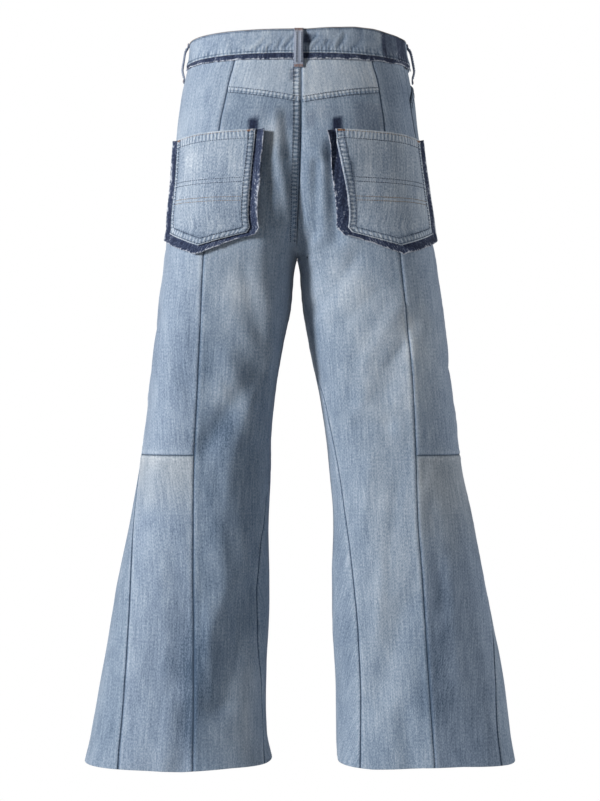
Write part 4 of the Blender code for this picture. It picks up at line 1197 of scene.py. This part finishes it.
        share = np.linspace(0.01, 0.99, 60)
        for up in self.yoke_rows:
            z = self.yoke_seam(share) + up
            sew(half.princess(z) + share * (half.seat_edge(z) - half.princess(z)), z)
        fly = lambda x, z: half.angle_at(x, z, back=False)
        if half.sign > 0:
            z = np.linspace(BAND_BOTTOM - 2 * MM, self.centre_rows_end, 160)
            for x in self.centre_rows:
                sew(half.angle_at(x, z), z)
            z = np.linspace(BAND_BOTTOM - 2 * MM, -150 * MM, 50)
            sew(fly(4 * MM, z), z)
            turn = np.linspace(0.05, 1.5, 16)
            for width in (36 * MM, 30 * MM):
                straight = np.linspace(BAND_BOTTOM - 2 * MM, -130 * MM, 40)
                z = np.concatenate([straight, -130 * MM - 40 * MM * np.sin(turn)])
                x = np.concatenate([np.full(40, width), width * np.cos(turn)])
                sew(fly(np.maximum(x, 3 * MM), z), z)
        for down in (2.5 * MM, 9 * MM):
            share = np.linspace(0.01, 0.42, 60)
            z = self.scoop(half, share) - down
            sew(half.side_seam(z) + share * (half.fly_edge(z) - half.side_seam(z)), z)
        sewn.finish(w.navy)

    def hem(self, half: Half) -> None:
        """The raw hem's short fray."""
        angle = np.linspace(-math.pi, math.pi, 240)
        z = half.hem(angle)
        path = half.at(angle, z + 0.4 * MM, -0.5 * MM)
        up = half.at(angle, z, 1 * MM) - half.at(angle, z)
        away = half.at(angle, z - 3 * MM) - half.at(angle, z)
        fray = Fringe("hem_fray_" + half.name, 31 + half.sign)
        fray.along(path, away, up, 0.7 * MM, 3.2 * MM, 0.6 * MM)
        fray.finish(self.wardrobe.hem_fray)


@dataclass
class PatchPocket:
    """A back pocket taken off another pair: sewn round twice, with its dark raw border and frayed edge."""

    half: Half
    wardrobe: Wardrobe
    row_in: float = 2.0
    row_gap: float = 7.0

    def outline(self, grow: float) -> Grid:
        """The pocket's outline, grown outwards: down the outer side, round the tip and up the inner one."""
        size = dict(zip(POCKET_COLUMNS, POCKETS[self.half.name]))
        corners = np.array([(size["top_outer"], POCKET_TOP_OUTER), (size["bottom_outer"], POCKET_CORNER),
                            (size["tip"], POCKET_TIP), (size["bottom_inner"], POCKET_CORNER),
                            (size["top_inner"], POCKET_TOP)], float)
        edges = np.diff(corners, axis=0)
        outward = np.stack([-edges[:, 1], edges[:, 0]], axis=1) / np.linalg.norm(edges, axis=1)[:, None]
        normals = np.concatenate([outward[:1], (outward[:-1] + outward[1:]) / 2, outward[-1:]])
        normals /= (normals**2).sum(axis=1, keepdims=True)
        if grow > 0:
            normals[3] = outward[3]
        return corners + grow * normals

    def lay(self, p: Grid, q: Grid, out: Grid | float) -> Grid:
        """Points over the seat: p round the cloth from the centre seam and q the height, in millimetres."""
        return self.half.at(self.half.angle_round(p * MM, q * MM), q * MM, out)

    def build(self) -> None:
        """Makes the pocket, its border, its sewing and its fray."""
        body = self.patch()
        border = self.border()
        self.sewing()
        self.fray()
        LOG.info("%s and %s", body.name, border.name)

    def patch(self) -> bpy.types.Object:
        """The pocket itself, with its turned hem thicker at the mouth."""
        name = self.half.name
        size = dict(zip(POCKET_COLUMNS, POCKETS[name]))
        share = finer((0, 0.8, 1.8, 3, 4.5, 6.5, 9), 0.14, 2.6 * MM)
        level = finer((0, 0.8, 1.8, 3, 4.5, 6.5, 9), 0.14, 2.6 * MM)[:, None]
        left = size["bottom_inner"] + level * (size["top_inner"] - size["bottom_inner"])
        right = size["bottom_outer"] + level * (size["top_outer"] - size["bottom_outer"])
        p = left + share * (right - left)
        tip = (size["tip"] - size["bottom_inner"]) / (size["bottom_outer"] - size["bottom_inner"])
        foot = np.where(share < tip, share / tip, (1 - share) / (1 - tip))
        bottom = POCKET_CORNER + (POCKET_TIP - POCKET_CORNER) * foot
        top = POCKET_TOP + (POCKET_TOP_OUTER - POCKET_TOP) * share**2
        q = bottom + level * (top - bottom)
        from_side = np.minimum(p - left, right - p)
        from_top, from_foot = top - q, q - bottom
        edge = np.minimum(np.minimum(from_side, from_top), from_foot)
        hem = ease((13 - from_top) / 3)
        turned = np.minimum(from_side, from_foot)
        sewn = np.exp(-(((turned - self.row_in) / 0.9) ** 2))
        sewn = sewn + np.exp(-(((turned - self.row_in - self.row_gap) / 0.9) ** 2))
        between = ease(turned - self.row_in + 0.5) * ease(self.row_in + self.row_gap - turned + 0.5)
        over_hem = ease((from_top - 1.5) / 1) * ease((12 - from_top) / 1)
        sideways = between * (from_side < from_foot)
        roll = np.exp(-((edge / 1.5) ** 2))
        lumps = soft_noise(np.stack([p, q, 0 * p], axis=-1) * MM, 4.6 * MM, 5)
        lift = 0.5 * hem + 0.35 * lumps * np.clip(between + over_hem, 0, 1) - 0.35 * sewn - 0.5 * roll
        points = self.lay(p, q, POCKET_OUT + POCKET_THICK + lift * MM)
        seed = 3 if name == "l" else 4
        cloudy = soft_noise(np.stack([p, q, 0 * p], axis=-1) * MM, 30 * MM, seed)
        tone = (0.53 if name == "l" else 0.6) + 0.06 * cloudy - 0.3 * sewn + 0.32 * roll
        tone = tone - 0.12 * np.exp(-(((turned - 12) / 3) ** 2))
        dark = 0.22 * ease((8 - from_side) / 3) * (p < (left + right) / 2)
        attributes = {"tone": tone, "line": 0 * tone, "rope_u": np.clip(over_hem + between - sideways, 0, 1),
                      "rope_v": sideways, "raw": dark, "bleach": 0.2 + 0 * tone}
        flat = np.stack([p * MM, q * MM], axis=-1)
        mesh = grid_mesh("pocket", points, flat, attributes, self.half.sign > 0)
        obj = new_object("cloth_back_pocket_" + name, mesh, self.wardrobe.pocket, self.wardrobe.inside)
        cut = (float(np.ptp(p)) * MM, float(np.ptp(q)) * MM)
        return settle(obj, "back_pocket_" + name, POCKET_THICK, cut)

    def border_runs(self, grows: Grid, per_side: int) -> tuple[Grid, Grid]:
        """The border's points, in millimetres, one run for each growth, and their places from 0 to 4."""
        runs = []
        steps = np.linspace(0, 1, per_side + 1)[:-1, None]
        for grow in grows:
            corners = self.outline(float(grow))
            pieces = [corners[i] + steps * (corners[i + 1] - corners[i]) for i in range(4)]
            runs.append(np.concatenate([*pieces, corners[-1:]]))
        return np.stack(runs), np.linspace(0, 4, 4 * per_side + 1)

    def border_out(self, grows: Grid, place: Grid) -> Grid:
        """How far the border stands off the seat."""
        curls = [BORDER_CURL[k] for k in ("outer", "outer", "bottom", "inner", "inner")]
        free = np.clip(grows / BORDER_OUT, 0, 1)
        return BORDER_GAP + free**1.5 * np.interp(place, (0, 1, 2.8, 3.3, 4), curls)

    def border(self) -> bpy.types.Object:
        """The dark raw border that shows round the pocket on three sides."""
        name = self.half.name
        grows = np.linspace(-BORDER_UNDER, BORDER_OUT, 12)[:, None]
        runs, place = self.border_runs(grows[:, 0], 36)
        ragged = 0.9 * soft_noise(runs * MM * (1, 1) @ np.array([[1, 0, 0], [0, 1, 0]]), 5 * MM, 9)
        spread = np.clip(grows / BORDER_OUT, 0, 1) ** 3
        points = self.lay(runs[..., 0] + ragged * spread, runs[..., 1] + ragged * spread,
                          self.border_out(grows, place) + TRIM_THICK)
        broken = soft_noise(runs * MM @ np.array([[1, 0, 0], [0, 1, 0]]), 2.4 * MM, 19)
        tone = 0.5 + 0.1 * ragged + (0.42 + 0.2 * broken) * ease((grows - 9.4 + 0.6 * broken) / 1.1)
        tone = tone + 0.22 * ease((1.2 - grows) / 1.0) + 0 * place
        mesh = grid_mesh("border", points, runs * MM, {"tone": tone}, self.half.sign > 0)
        obj = new_object("cloth_pocket_border_" + name, mesh, self.wardrobe.raw, self.wardrobe.raw)
        cut = ((BORDER_UNDER + BORDER_OUT) * MM, float(lengths(points, 1)[6, -1]))
        return settle(obj, "pocket_border_" + name, TRIM_THICK, cut)

    def sewing(self) -> None:
        """Two rows round the pocket and two across its mouth, two plain straight pairs, and the bartacks."""
        name, over = self.half.name, POCKET_OUT + POCKET_THICK + 0.25 * MM
        navy, tan, tacks = (Stitches("pocket_%s_stitches_%s" % (c, name)) for c in ("navy", "tan", "rust"))

        def sew(kind: Stitches, corners: Grid, count: int = 50, **options: float) -> None:
            """A row through corners in millimetres."""
            run = np.concatenate([[0], np.cumsum(np.linalg.norm(np.diff(corners, axis=0), axis=1))])
            along = np.linspace(0, run[-1], count)
            p, q = (np.interp(along, run, corners[:, k]) for k in (0, 1))
            path = self.lay(p, q, over)
            kind.row(path, self.lay(p, q, over + MM) - path, **options)

        for inset in (self.row_in, self.row_in + self.row_gap):
            sew(navy, self.outline(-inset), 120)
        inner, outer = self.outline(-self.row_in)[-1], self.outline(-self.row_in)[0]
        for down in (2.5, 12):
            t = np.linspace(0, 1, 20)[:, None]
            bow = np.concatenate([0 * t, (POCKET_TOP - POCKET_TOP_OUTER) * (t - t**2)], axis=1)
            sew(tan if down < 5 else navy, inner + t * (outer - inner) + bow + np.array([0, -down]), 60)
        # A plain straight pair of rows across the patch.
        low_in, low_out = self.outline(-10)[3], self.outline(-10)[1]
        high_in, high_out = self.outline(-10)[4], self.outline(-10)[0]
        for height, kind in ((0.50, navy), (0.455, navy), (0.30, tan), (0.26, tan)):
            ends = np.stack([low_in + height * (high_in - low_in), low_out + height * (high_out - low_out)])
            sew(kind, ends, 40, thick=0.7 * MM)
        for corner, side in ((inner, 1), (outer, -1)):
            for k in range(5):
                start = corner + np.array([side * 1.0, -1.2 - 0.5 * k])
                tack = np.stack([start, start + np.array([side * 9.0, 0])])
                sew(tacks, tack, 6, pitch=1.6 * MM, thick=0.6 * MM, gap=0.05)
        w = self.wardrobe
        for kind, look in ((navy, w.navy), (tan, w.tan), (tacks, w.rust)):
            kind.finish(look)

    def fray(self) -> None:
        """White weft threads that hang from the border's outer edge."""
        grows = np.array([BORDER_OUT - 1.4, BORDER_OUT + 1.0])
        runs, place = self.border_runs(grows, 40)
        out = self.border_out(grows[:, None], place) + TRIM_THICK / 2
        points = self.lay(runs[..., 0], runs[..., 1], out)
        above = self.lay(runs[0, :, 0], runs[0, :, 1], out[0] + MM)
        fray = Fringe("pocket_fray_" + self.half.name, 51 + self.half.sign)
        fray.along(points[0], points[1] - points[0], above - points[0], 0.5 * MM, 3.6 * MM, 0.8 * MM)
        fray.finish(self.wardrobe.fray)


@dataclass
class Waist:
    """The waistband, the dark strip under it, the belt loops, the fly's shield and the button."""

    wardrobe: Wardrobe
    pucker_mm: float = 0.55
    # Slanting creases in the band beside the back loop: from (x, z) to (x, z), width and depth, in mm.
    creases: tuple = (
        ((32, -8), (11, 10), 1.7, -1.9),
        ((24, -10), (15, -2), 1.4, -1.2),
        ((46, -11), (37, 3), 1.8, -1.0),
        ((-14, -3), (-30, 9), 1.8, -1.5),
        ((-58, -6), (-72, 12), 2.2, 1.1),
        ((-66, -8), (-78, 8), 2.0, -1.2),
        ((-86, -9), (-100, 6), 2.2, -1.0),
        ((88, -10), (72, 2), 2.4, 0.9),
        ((-22, -9), (-34, 1), 1.6, -1.3),
        ((-40, -9), (-50, 2), 1.8, -1.4),
        ((-50, -10), (-58, -3), 1.5, -1.2),
        ((62, -11), (54, -3), 1.6, -1.1),
        ((78, -11), (71, -4), 1.5, -1.2),
    )

    def build(self) -> None:
        """Builds each piece."""
        self.band()
        self.strip()
        self.loops()
        self.shield()
        self.button()

    def band(self) -> None:
        """The waistband: one strip right round, whose ends pass each other at the centre front."""
        deep = -HALVES[0].plain(-math.pi / 2, 0.0)[1]
        front = -math.pi / 2
        turn = np.linspace(front - BAND_OVER / deep, front + 2 * math.pi + BAND_UNDER / deep, 420)
        to_end = (turn[-1] - turn) * deep
        tucked = BAND_TUCK * ease((BAND_UNDER + BAND_OVER + 34 * MM - to_end) / (26 * MM))
        top = BAND_TOP + MM * np.interp(np.degrees(turn), *zip(*BAND_RISE))
        bottom = BAND_BOTTOM + SEAM_GAP / 2
        share = np.array([0, 0.03, 0.07, 0.12, 0.19, 0.27, 0.36, 0.46, 0.56, 0.66, 0.75, 0.83, 0.9, 0.95, 1])
        share = share[:, None]
        z = bottom + share * (top - bottom)
        run_round = turn * deep * 1.24
        wave = soft_noise(np.stack([run_round, 0 * run_round, 0 * run_round], axis=-1), 7 * MM, 41)
        fine = soft_noise(np.stack([run_round + 0 * z, z * 0.8, 0 * z], axis=-1), 5 * MM, 42)
        near = np.minimum(share, 1 - share) * 34
        low = ease((10.5 - share * 34) / 3)
        x, height = np.cos(turn) * 150 + 0 * z, z / MM
        creases = 0 * z
        for start, end, wide, depth in self.creases:
            start, run = np.array(start), np.array(end) - np.array(start)
            place = np.stack([x, height], axis=-1) - start
            along = np.clip(place @ run / (run @ run), 0, 1)
            away = np.linalg.norm(place - along[..., None] * run, axis=-1) / wide
            creases = creases + depth * np.exp(-(away**2)) * (np.sin(turn) > 0)
        lift = self.pucker_mm * (wave * low + 0.6 * fine) + creases - 0.5 * np.exp(-(((near - 2) / 0.8) ** 2))
        lift = lift - 0.5 * np.exp(-((near / 0.8) ** 2))
        out = BAND_OUT - tucked + lift * MM
        points = round_waist(turn, z, out)
        degrees = np.degrees(turn) + 0 * z
        unworn = ease((degrees - 143.9) / 1.0) * ease((167.5 - degrees) / 1.0)
        ends = 1 - ease((degrees - 147) / 1.5) * ease((157 - degrees) / 2)
        raw = unworn * (0.62 + 0.3 * ends) + 0.9 * patch(points, 10, 11, 3, 4, 5) * (points[..., 0] < 0)
        tone = 0.54 + 0.12 * fine - 0.2 * np.exp(-(((near - 2) / 0.9) ** 2))
        tone = tone + 0.35 * np.exp(-((near / 0.8) ** 2))
        # The creases' hollows are painted darker as painted shade, and their tops a little paler as painted
        # light.
        tone = tone + 0.2 * np.clip(creases, -2, 0.8) - 0.08 * unworn
        flat = np.stack([run_round + 0 * z, z], axis=-1)
        attributes = {"tone": tone, "rope_u": 0.7 * low, "raw": np.clip(raw, 0, 1)}
        mesh = grid_mesh("band", points, flat, attributes, False)
        obj = new_object("cloth_waistband", mesh, self.wardrobe.pale, self.wardrobe.inside)
        length = float(lengths(points, 1)[7, -1])
        settle(obj, "waistband", BAND_THICK, (length, 34 * MM))
        sewn = Stitches("band_stitches")
        for up in (3.0 * MM, 31 * MM):
            height = bottom + up + (top - BAND_TOP) * (up > 10 * MM)
            fine_out = BAND_OUT - tucked + 0.25 * MM
            path = round_waist(turn, height, fine_out)
            sewn.row(path, round_waist(turn, height, fine_out + MM) - path)
        sewn.finish(self.wardrobe.blue)
        edge = Stitches("band_edge_stitches")
        height = top - 0.9 * MM
        path = round_waist(turn, height, BAND_OUT - tucked + 0.1 * MM)
        edge.row(path, round_waist(turn, height, BAND_OUT - tucked + 1.1 * MM) - path, thick=0.7 * MM)
        edge.finish(self.wardrobe.tan)

    def strip(self) -> None:
        """The dark raw strip under the waistband, with its frayed lower edge."""
        turn = np.radians(np.linspace(8, 174, 230))
        side = np.abs(np.cos(turn)) ** 2
        ragged = soft_noise(np.stack([turn, 0 * turn, 0 * turn], axis=-1), 0.035, 61)
        bottom = STRIP_BOTTOM + (STRIP_BOTTOM_AT_SIDES - STRIP_BOTTOM) * side + 0.7 * MM * ragged
        top = BAND_BOTTOM - SEAM_GAP / 2
        share = np.linspace(0, 1, 8)[:, None]
        z = bottom + share * (top - bottom)
        points = round_waist(turn, z, 0.7 * MM + TRIM_THICK + 0.2 * MM * ragged + 0.5 * MM * (1 - share))
        broken = soft_noise(np.stack([turn + 0 * z, 0 * z, 0 * z], axis=-1), 0.012, 62)
        pale_edge = ease((0.2 - share + 0.06 * broken) / 0.1)
        tone = 0.48 + 0.12 * ragged + (0.48 + 0.2 * broken) * pale_edge + 0 * z
        flat = np.stack([turn * 0.13 + 0 * z, z], axis=-1)
        mesh = grid_mesh("strip", points, flat, {"tone": tone}, False)
        obj = new_object("cloth_waist_strip", mesh, self.wardrobe.raw, self.wardrobe.raw)
        length = float(lengths(points, 1)[4, -1])
        settle(obj, "waist_strip", TRIM_THICK, (length, 10 * MM))
        fray = Fringe("strip_fray", 71)
        away = round_waist(turn, bottom - 3 * MM, 1.6 * MM) - round_waist(turn, bottom, 1.4 * MM)
        path = round_waist(turn, bottom + 0.3 * MM, 2.2 * MM)
        fray.along(path, away, round_waist(turn, bottom, 3 * MM) - path, 0.5 * MM, 2.6 * MM, 0.8 * MM)
        fray.finish(self.wardrobe.fray)

    def loops(self) -> None:
        """Belt loops, each folded lengthways in three and tacked at its head and foot."""
        heights, outs = np.array(LOOP_PROFILE).T * MM
        tacks, rows = Stitches("loop_bartacks"), Stitches("loop_stitches")
        for name, degrees in LOOPS:
            centre = round_waist(math.radians(degrees), 0.0, 0.0)
            spread = LOOP_WIDTH / 2 / np.linalg.norm(centre[:2])
            share = np.linspace(-1, 1, 15)
            turn = math.radians(degrees) + spread * share
            z = np.interp(np.linspace(0, 8, 49), np.arange(9), heights)[:, None]
            smooth = np.interp(np.linspace(0, 8, 49), np.arange(9), outs)
            smooth = np.convolve(np.pad(smooth, 3, "edge"), np.ones(7) / 7, "valid")[:, None]
            fold = 0.5 * np.exp(-((np.abs(share) - 0.5) / 0.2) ** 2)
            fold = fold - 0.35 * np.exp(-((np.abs(share) - 1) / 0.12) ** 2)
            free = ease(np.minimum(z - heights[0] - 4 * MM, heights[-1] - 3 * MM - z) / (4 * MM))
            out = smooth + LOOP_THICK + fold * free * MM
            points = round_waist(turn, z, out)
            # Paler along the raised folds and darker at the edges where they turn down; the darker edges are
            # painted shade.
            tone = 0.5 + 0.5 * (fold - 0.2) + 0 * z
            flat = np.stack([share * LOOP_WIDTH / 2 + 0 * z, z + 0 * share], axis=-1)
            mesh = grid_mesh("loop", points, flat, {"tone": tone}, False)
            obj = new_object("cloth_belt_loop_" + name, mesh, self.wardrobe.loop, self.wardrobe.loop)
            cut = (LOOP_WIDTH, float(lengths(points, 0)[-1, 7]))
            settle(obj, "belt_loop_" + name, LOOP_THICK, cut)
            for at in (-35.2, -33.9, -32.6, 15.0, 16.2, 17.3):
                level = np.full(12, at * MM)
                over = np.interp(at * MM, heights, outs) + LOOP_THICK + 0.2 * MM
                tack = math.radians(degrees) + spread * np.linspace(-0.9, 0.9, 12)
                path = round_waist(tack, level, over)
                tacks.row(path, round_waist(tack, level, over + MM) - path, pitch=1.8 * MM, thick=0.75 * MM,
                          gap=0.05)
            for x in (-0.5, 0.5):
                level = np.linspace(-30 * MM, 12 * MM, 40)
                over = np.interp(level, z[:, 0], smooth[:, 0]) + LOOP_THICK + 0.55 * MM
                path = round_waist(math.radians(degrees) + spread * x, level, over)
                rows.row(path, round_waist(math.radians(degrees) + spread * x, level, over + MM) - path)
        tacks.finish(self.wardrobe.rust)
        rows.finish(self.wardrobe.blue)

    def shield(self) -> None:
        """The fly's shield keeps its solid, with the denim's wrong side on it."""
        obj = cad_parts["fly_shield"]
        obj.data.materials.clear()
        obj.data.materials.append(self.wardrobe.shield)

    def button(self) -> None:
        """The shank button: a dished brass cap with a rolled rim and a small dome in the middle."""
        low, high = (np.array(c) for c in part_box("button"))
        turn = -math.pi / 2
        seat = round_waist(turn, 0.001, BAND_OUT)
        away = round_waist(turn, 0.001, BAND_OUT + 1 * MM) - seat
        away /= np.linalg.norm(away)
        bpy.ops.object.select_all(action="DESELECT")
        bpy.ops.mesh.primitive_cylinder_add(vertices=48, radius=8.4 * MM, depth=1.6 * MM,
                                            location=(0, 0, 2.1 * MM))
        obj = bpy.context.object
        bpy.ops.object.mode_set(mode="EDIT")
        edit = bmesh.from_edit_mesh(obj.data)
        for face in edit.faces:
            face.select_set(face.normal.z > 0.9)
        bmesh.update_edit_mesh(obj.data)
        bpy.ops.mesh.inset(thickness=1.3 * MM, depth=0.0)
        bpy.ops.mesh.inset(thickness=0.5 * MM, depth=-0.5 * MM)
        bpy.ops.mesh.inset(thickness=2.6 * MM, depth=0.1 * MM)
        bpy.ops.mesh.inset(thickness=1.0 * MM, depth=0.45 * MM)
        bpy.ops.mesh.inset(thickness=1.4 * MM, depth=0.25 * MM)
        bpy.ops.mesh.select_all(action="DESELECT")
        edit = bmesh.from_edit_mesh(obj.data)
        for face in edit.faces:
            face.select_set(face.normal.z < -0.9)
        bmesh.update_edit_mesh(obj.data)
        bpy.ops.mesh.inset(thickness=4.8 * MM, depth=0.0)
        bpy.ops.mesh.extrude_region_move(TRANSFORM_OT_translate={"value": (0, 0, -1.0 * MM)})
        bpy.ops.object.mode_set(mode="OBJECT")
        bevel = obj.modifiers.new("rim", "BEVEL")
        bevel.width = 0.25 * MM
        bevel.segments = 3
        bevel.limit_method = "ANGLE"
        bevel.angle_limit = math.radians(35)
        bpy.ops.object.modifier_apply(modifier=bevel.name)
        up = np.array([0.0, 0.0, 1.0])
        side = np.cross(away, up)
        side /= np.linalg.norm(side)
        top = np.cross(side, away)
        place = np.stack([side, -top, away], axis=1)
        if np.linalg.det(place) < 0:
            place[:, 1] *= -1
        verts = np.array([v.co[:] for v in obj.data.vertices]) @ place.T + seat
        obj.data.vertices.foreach_set("co", verts.ravel())
        obj.name = "brass_button"
        obj.data.materials.clear()
        obj.data.materials.append(self.wardrobe.brass)
        bpy.ops.object.shade_smooth_by_angle(angle=math.radians(30))
        obj.location = (0, 0, 0)
        obj.data.update()
        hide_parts("button")
        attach(obj, "root")
        LOG.info("%s within %s and %s", obj.name, low.round(3), high.round(3))


# --- The studio -----------------------------------------------------------------------------------


@dataclass
class Studio:
    """A white room with a soft key light, three weaker lights, a floor and the camera."""

    distance: float = 3.0
    height: float = -0.478
    lens: float = 96.3
    floor_z: float = -1.25

    def build(self) -> None:
        """Makes the camera, the lights, the world and the floor."""
        camera = bpy.data.cameras.new("camera")
        camera.lens = self.lens
        camera.sensor_width = 36.0
        eye = bpy.data.objects.new("camera", camera)
        eye.location = (0.0, self.distance, self.height)
        eye.rotation_euler = (math.pi / 2, 0, math.pi)
        bpy.context.scene.collection.objects.link(eye)
        bpy.context.scene.camera = eye
        self.light("key", (2.49, 1.57, 0.45), 0.6, 93)
        self.light("rim", (-2.6, -0.25, -0.1), 1.4, 28)
        self.light("fill", (-0.6, 3.3, 0.2), 2.2, 4.5)
        self.light("front", (0.9, -3.0, 0.3), 2.0, 45)
        self.world()
        self.floor()
        bpy.context.scene.view_settings.view_transform = "Standard"

    def light(self, name: str, place: tuple[float, float, float], size: float, watts: float) -> None:
        """A square soft light that faces the jeans.

        Args:
            name: its name.
            place: where it stands.
            size: its side.
            watts: its power.
        """
        lamp = bpy.data.lights.new(name, "AREA")
        lamp.size = size
        lamp.energy = watts
        obj = bpy.data.objects.new(name, lamp)
        obj.location = place
        aim = np.array([0, 0, -0.48]) - np.array(place)
        flat = math.hypot(aim[0], aim[1])
        obj.rotation_euler = (math.atan2(flat, -aim[2]), 0, math.atan2(aim[1], aim[0]) - math.pi / 2)
        bpy.context.scene.collection.objects.link(obj)

    def world(self) -> None:
        """A white surround that lights the cloth only softly."""
        world = bpy.data.worlds.new("white_room")
        world.use_nodes = True
        tree = world.node_tree
        background = tree.nodes["Background"]
        seen = node(tree, "ShaderNodeLightPath").outputs["Is Camera Ray"]
        strength = node(tree, "ShaderNodeMapRange", None, {"Value": seen}, {"To Min": 0.085, "To Max": 1.0})
        background.inputs["Color"].default_value = (1, 1, 1, 1)
        tree.links.new(strength.outputs["Result"], background.inputs["Strength"])
        bpy.context.scene.world = world

    def floor(self) -> None:
        """A plain pale floor below the hems."""
        bpy.ops.object.select_all(action="DESELECT")
        bpy.ops.mesh.primitive_cylinder_add(vertices=96, radius=1.1, depth=0.01,
                                            location=(0, 0, self.floor_z))
        floor = bpy.context.object
        floor.name = "floor"
        paint = bpy.data.materials.new("matt_white_paint")
        paint.use_nodes = True
        paint.node_tree.nodes["Principled BSDF"].inputs["Base Color"].default_value = linear("#f2f2f0")
        paint.node_tree.nodes["Principled BSDF"].inputs["Roughness"].default_value = 0.9
        floor.data.materials.append(paint)


def main() -> None:
    """Builds the jeans' looks and the studio."""
    logging.basicConfig(level=logging.INFO, format="%(name)s: %(message)s")
    wardrobe = Wardrobe()
    Studio().build()
    Shell(wardrobe).build()
    for half in HALVES:
        PatchPocket(half, wardrobe).build()
    Waist(wardrobe).build()


if __name__ == "__main__":
    main()
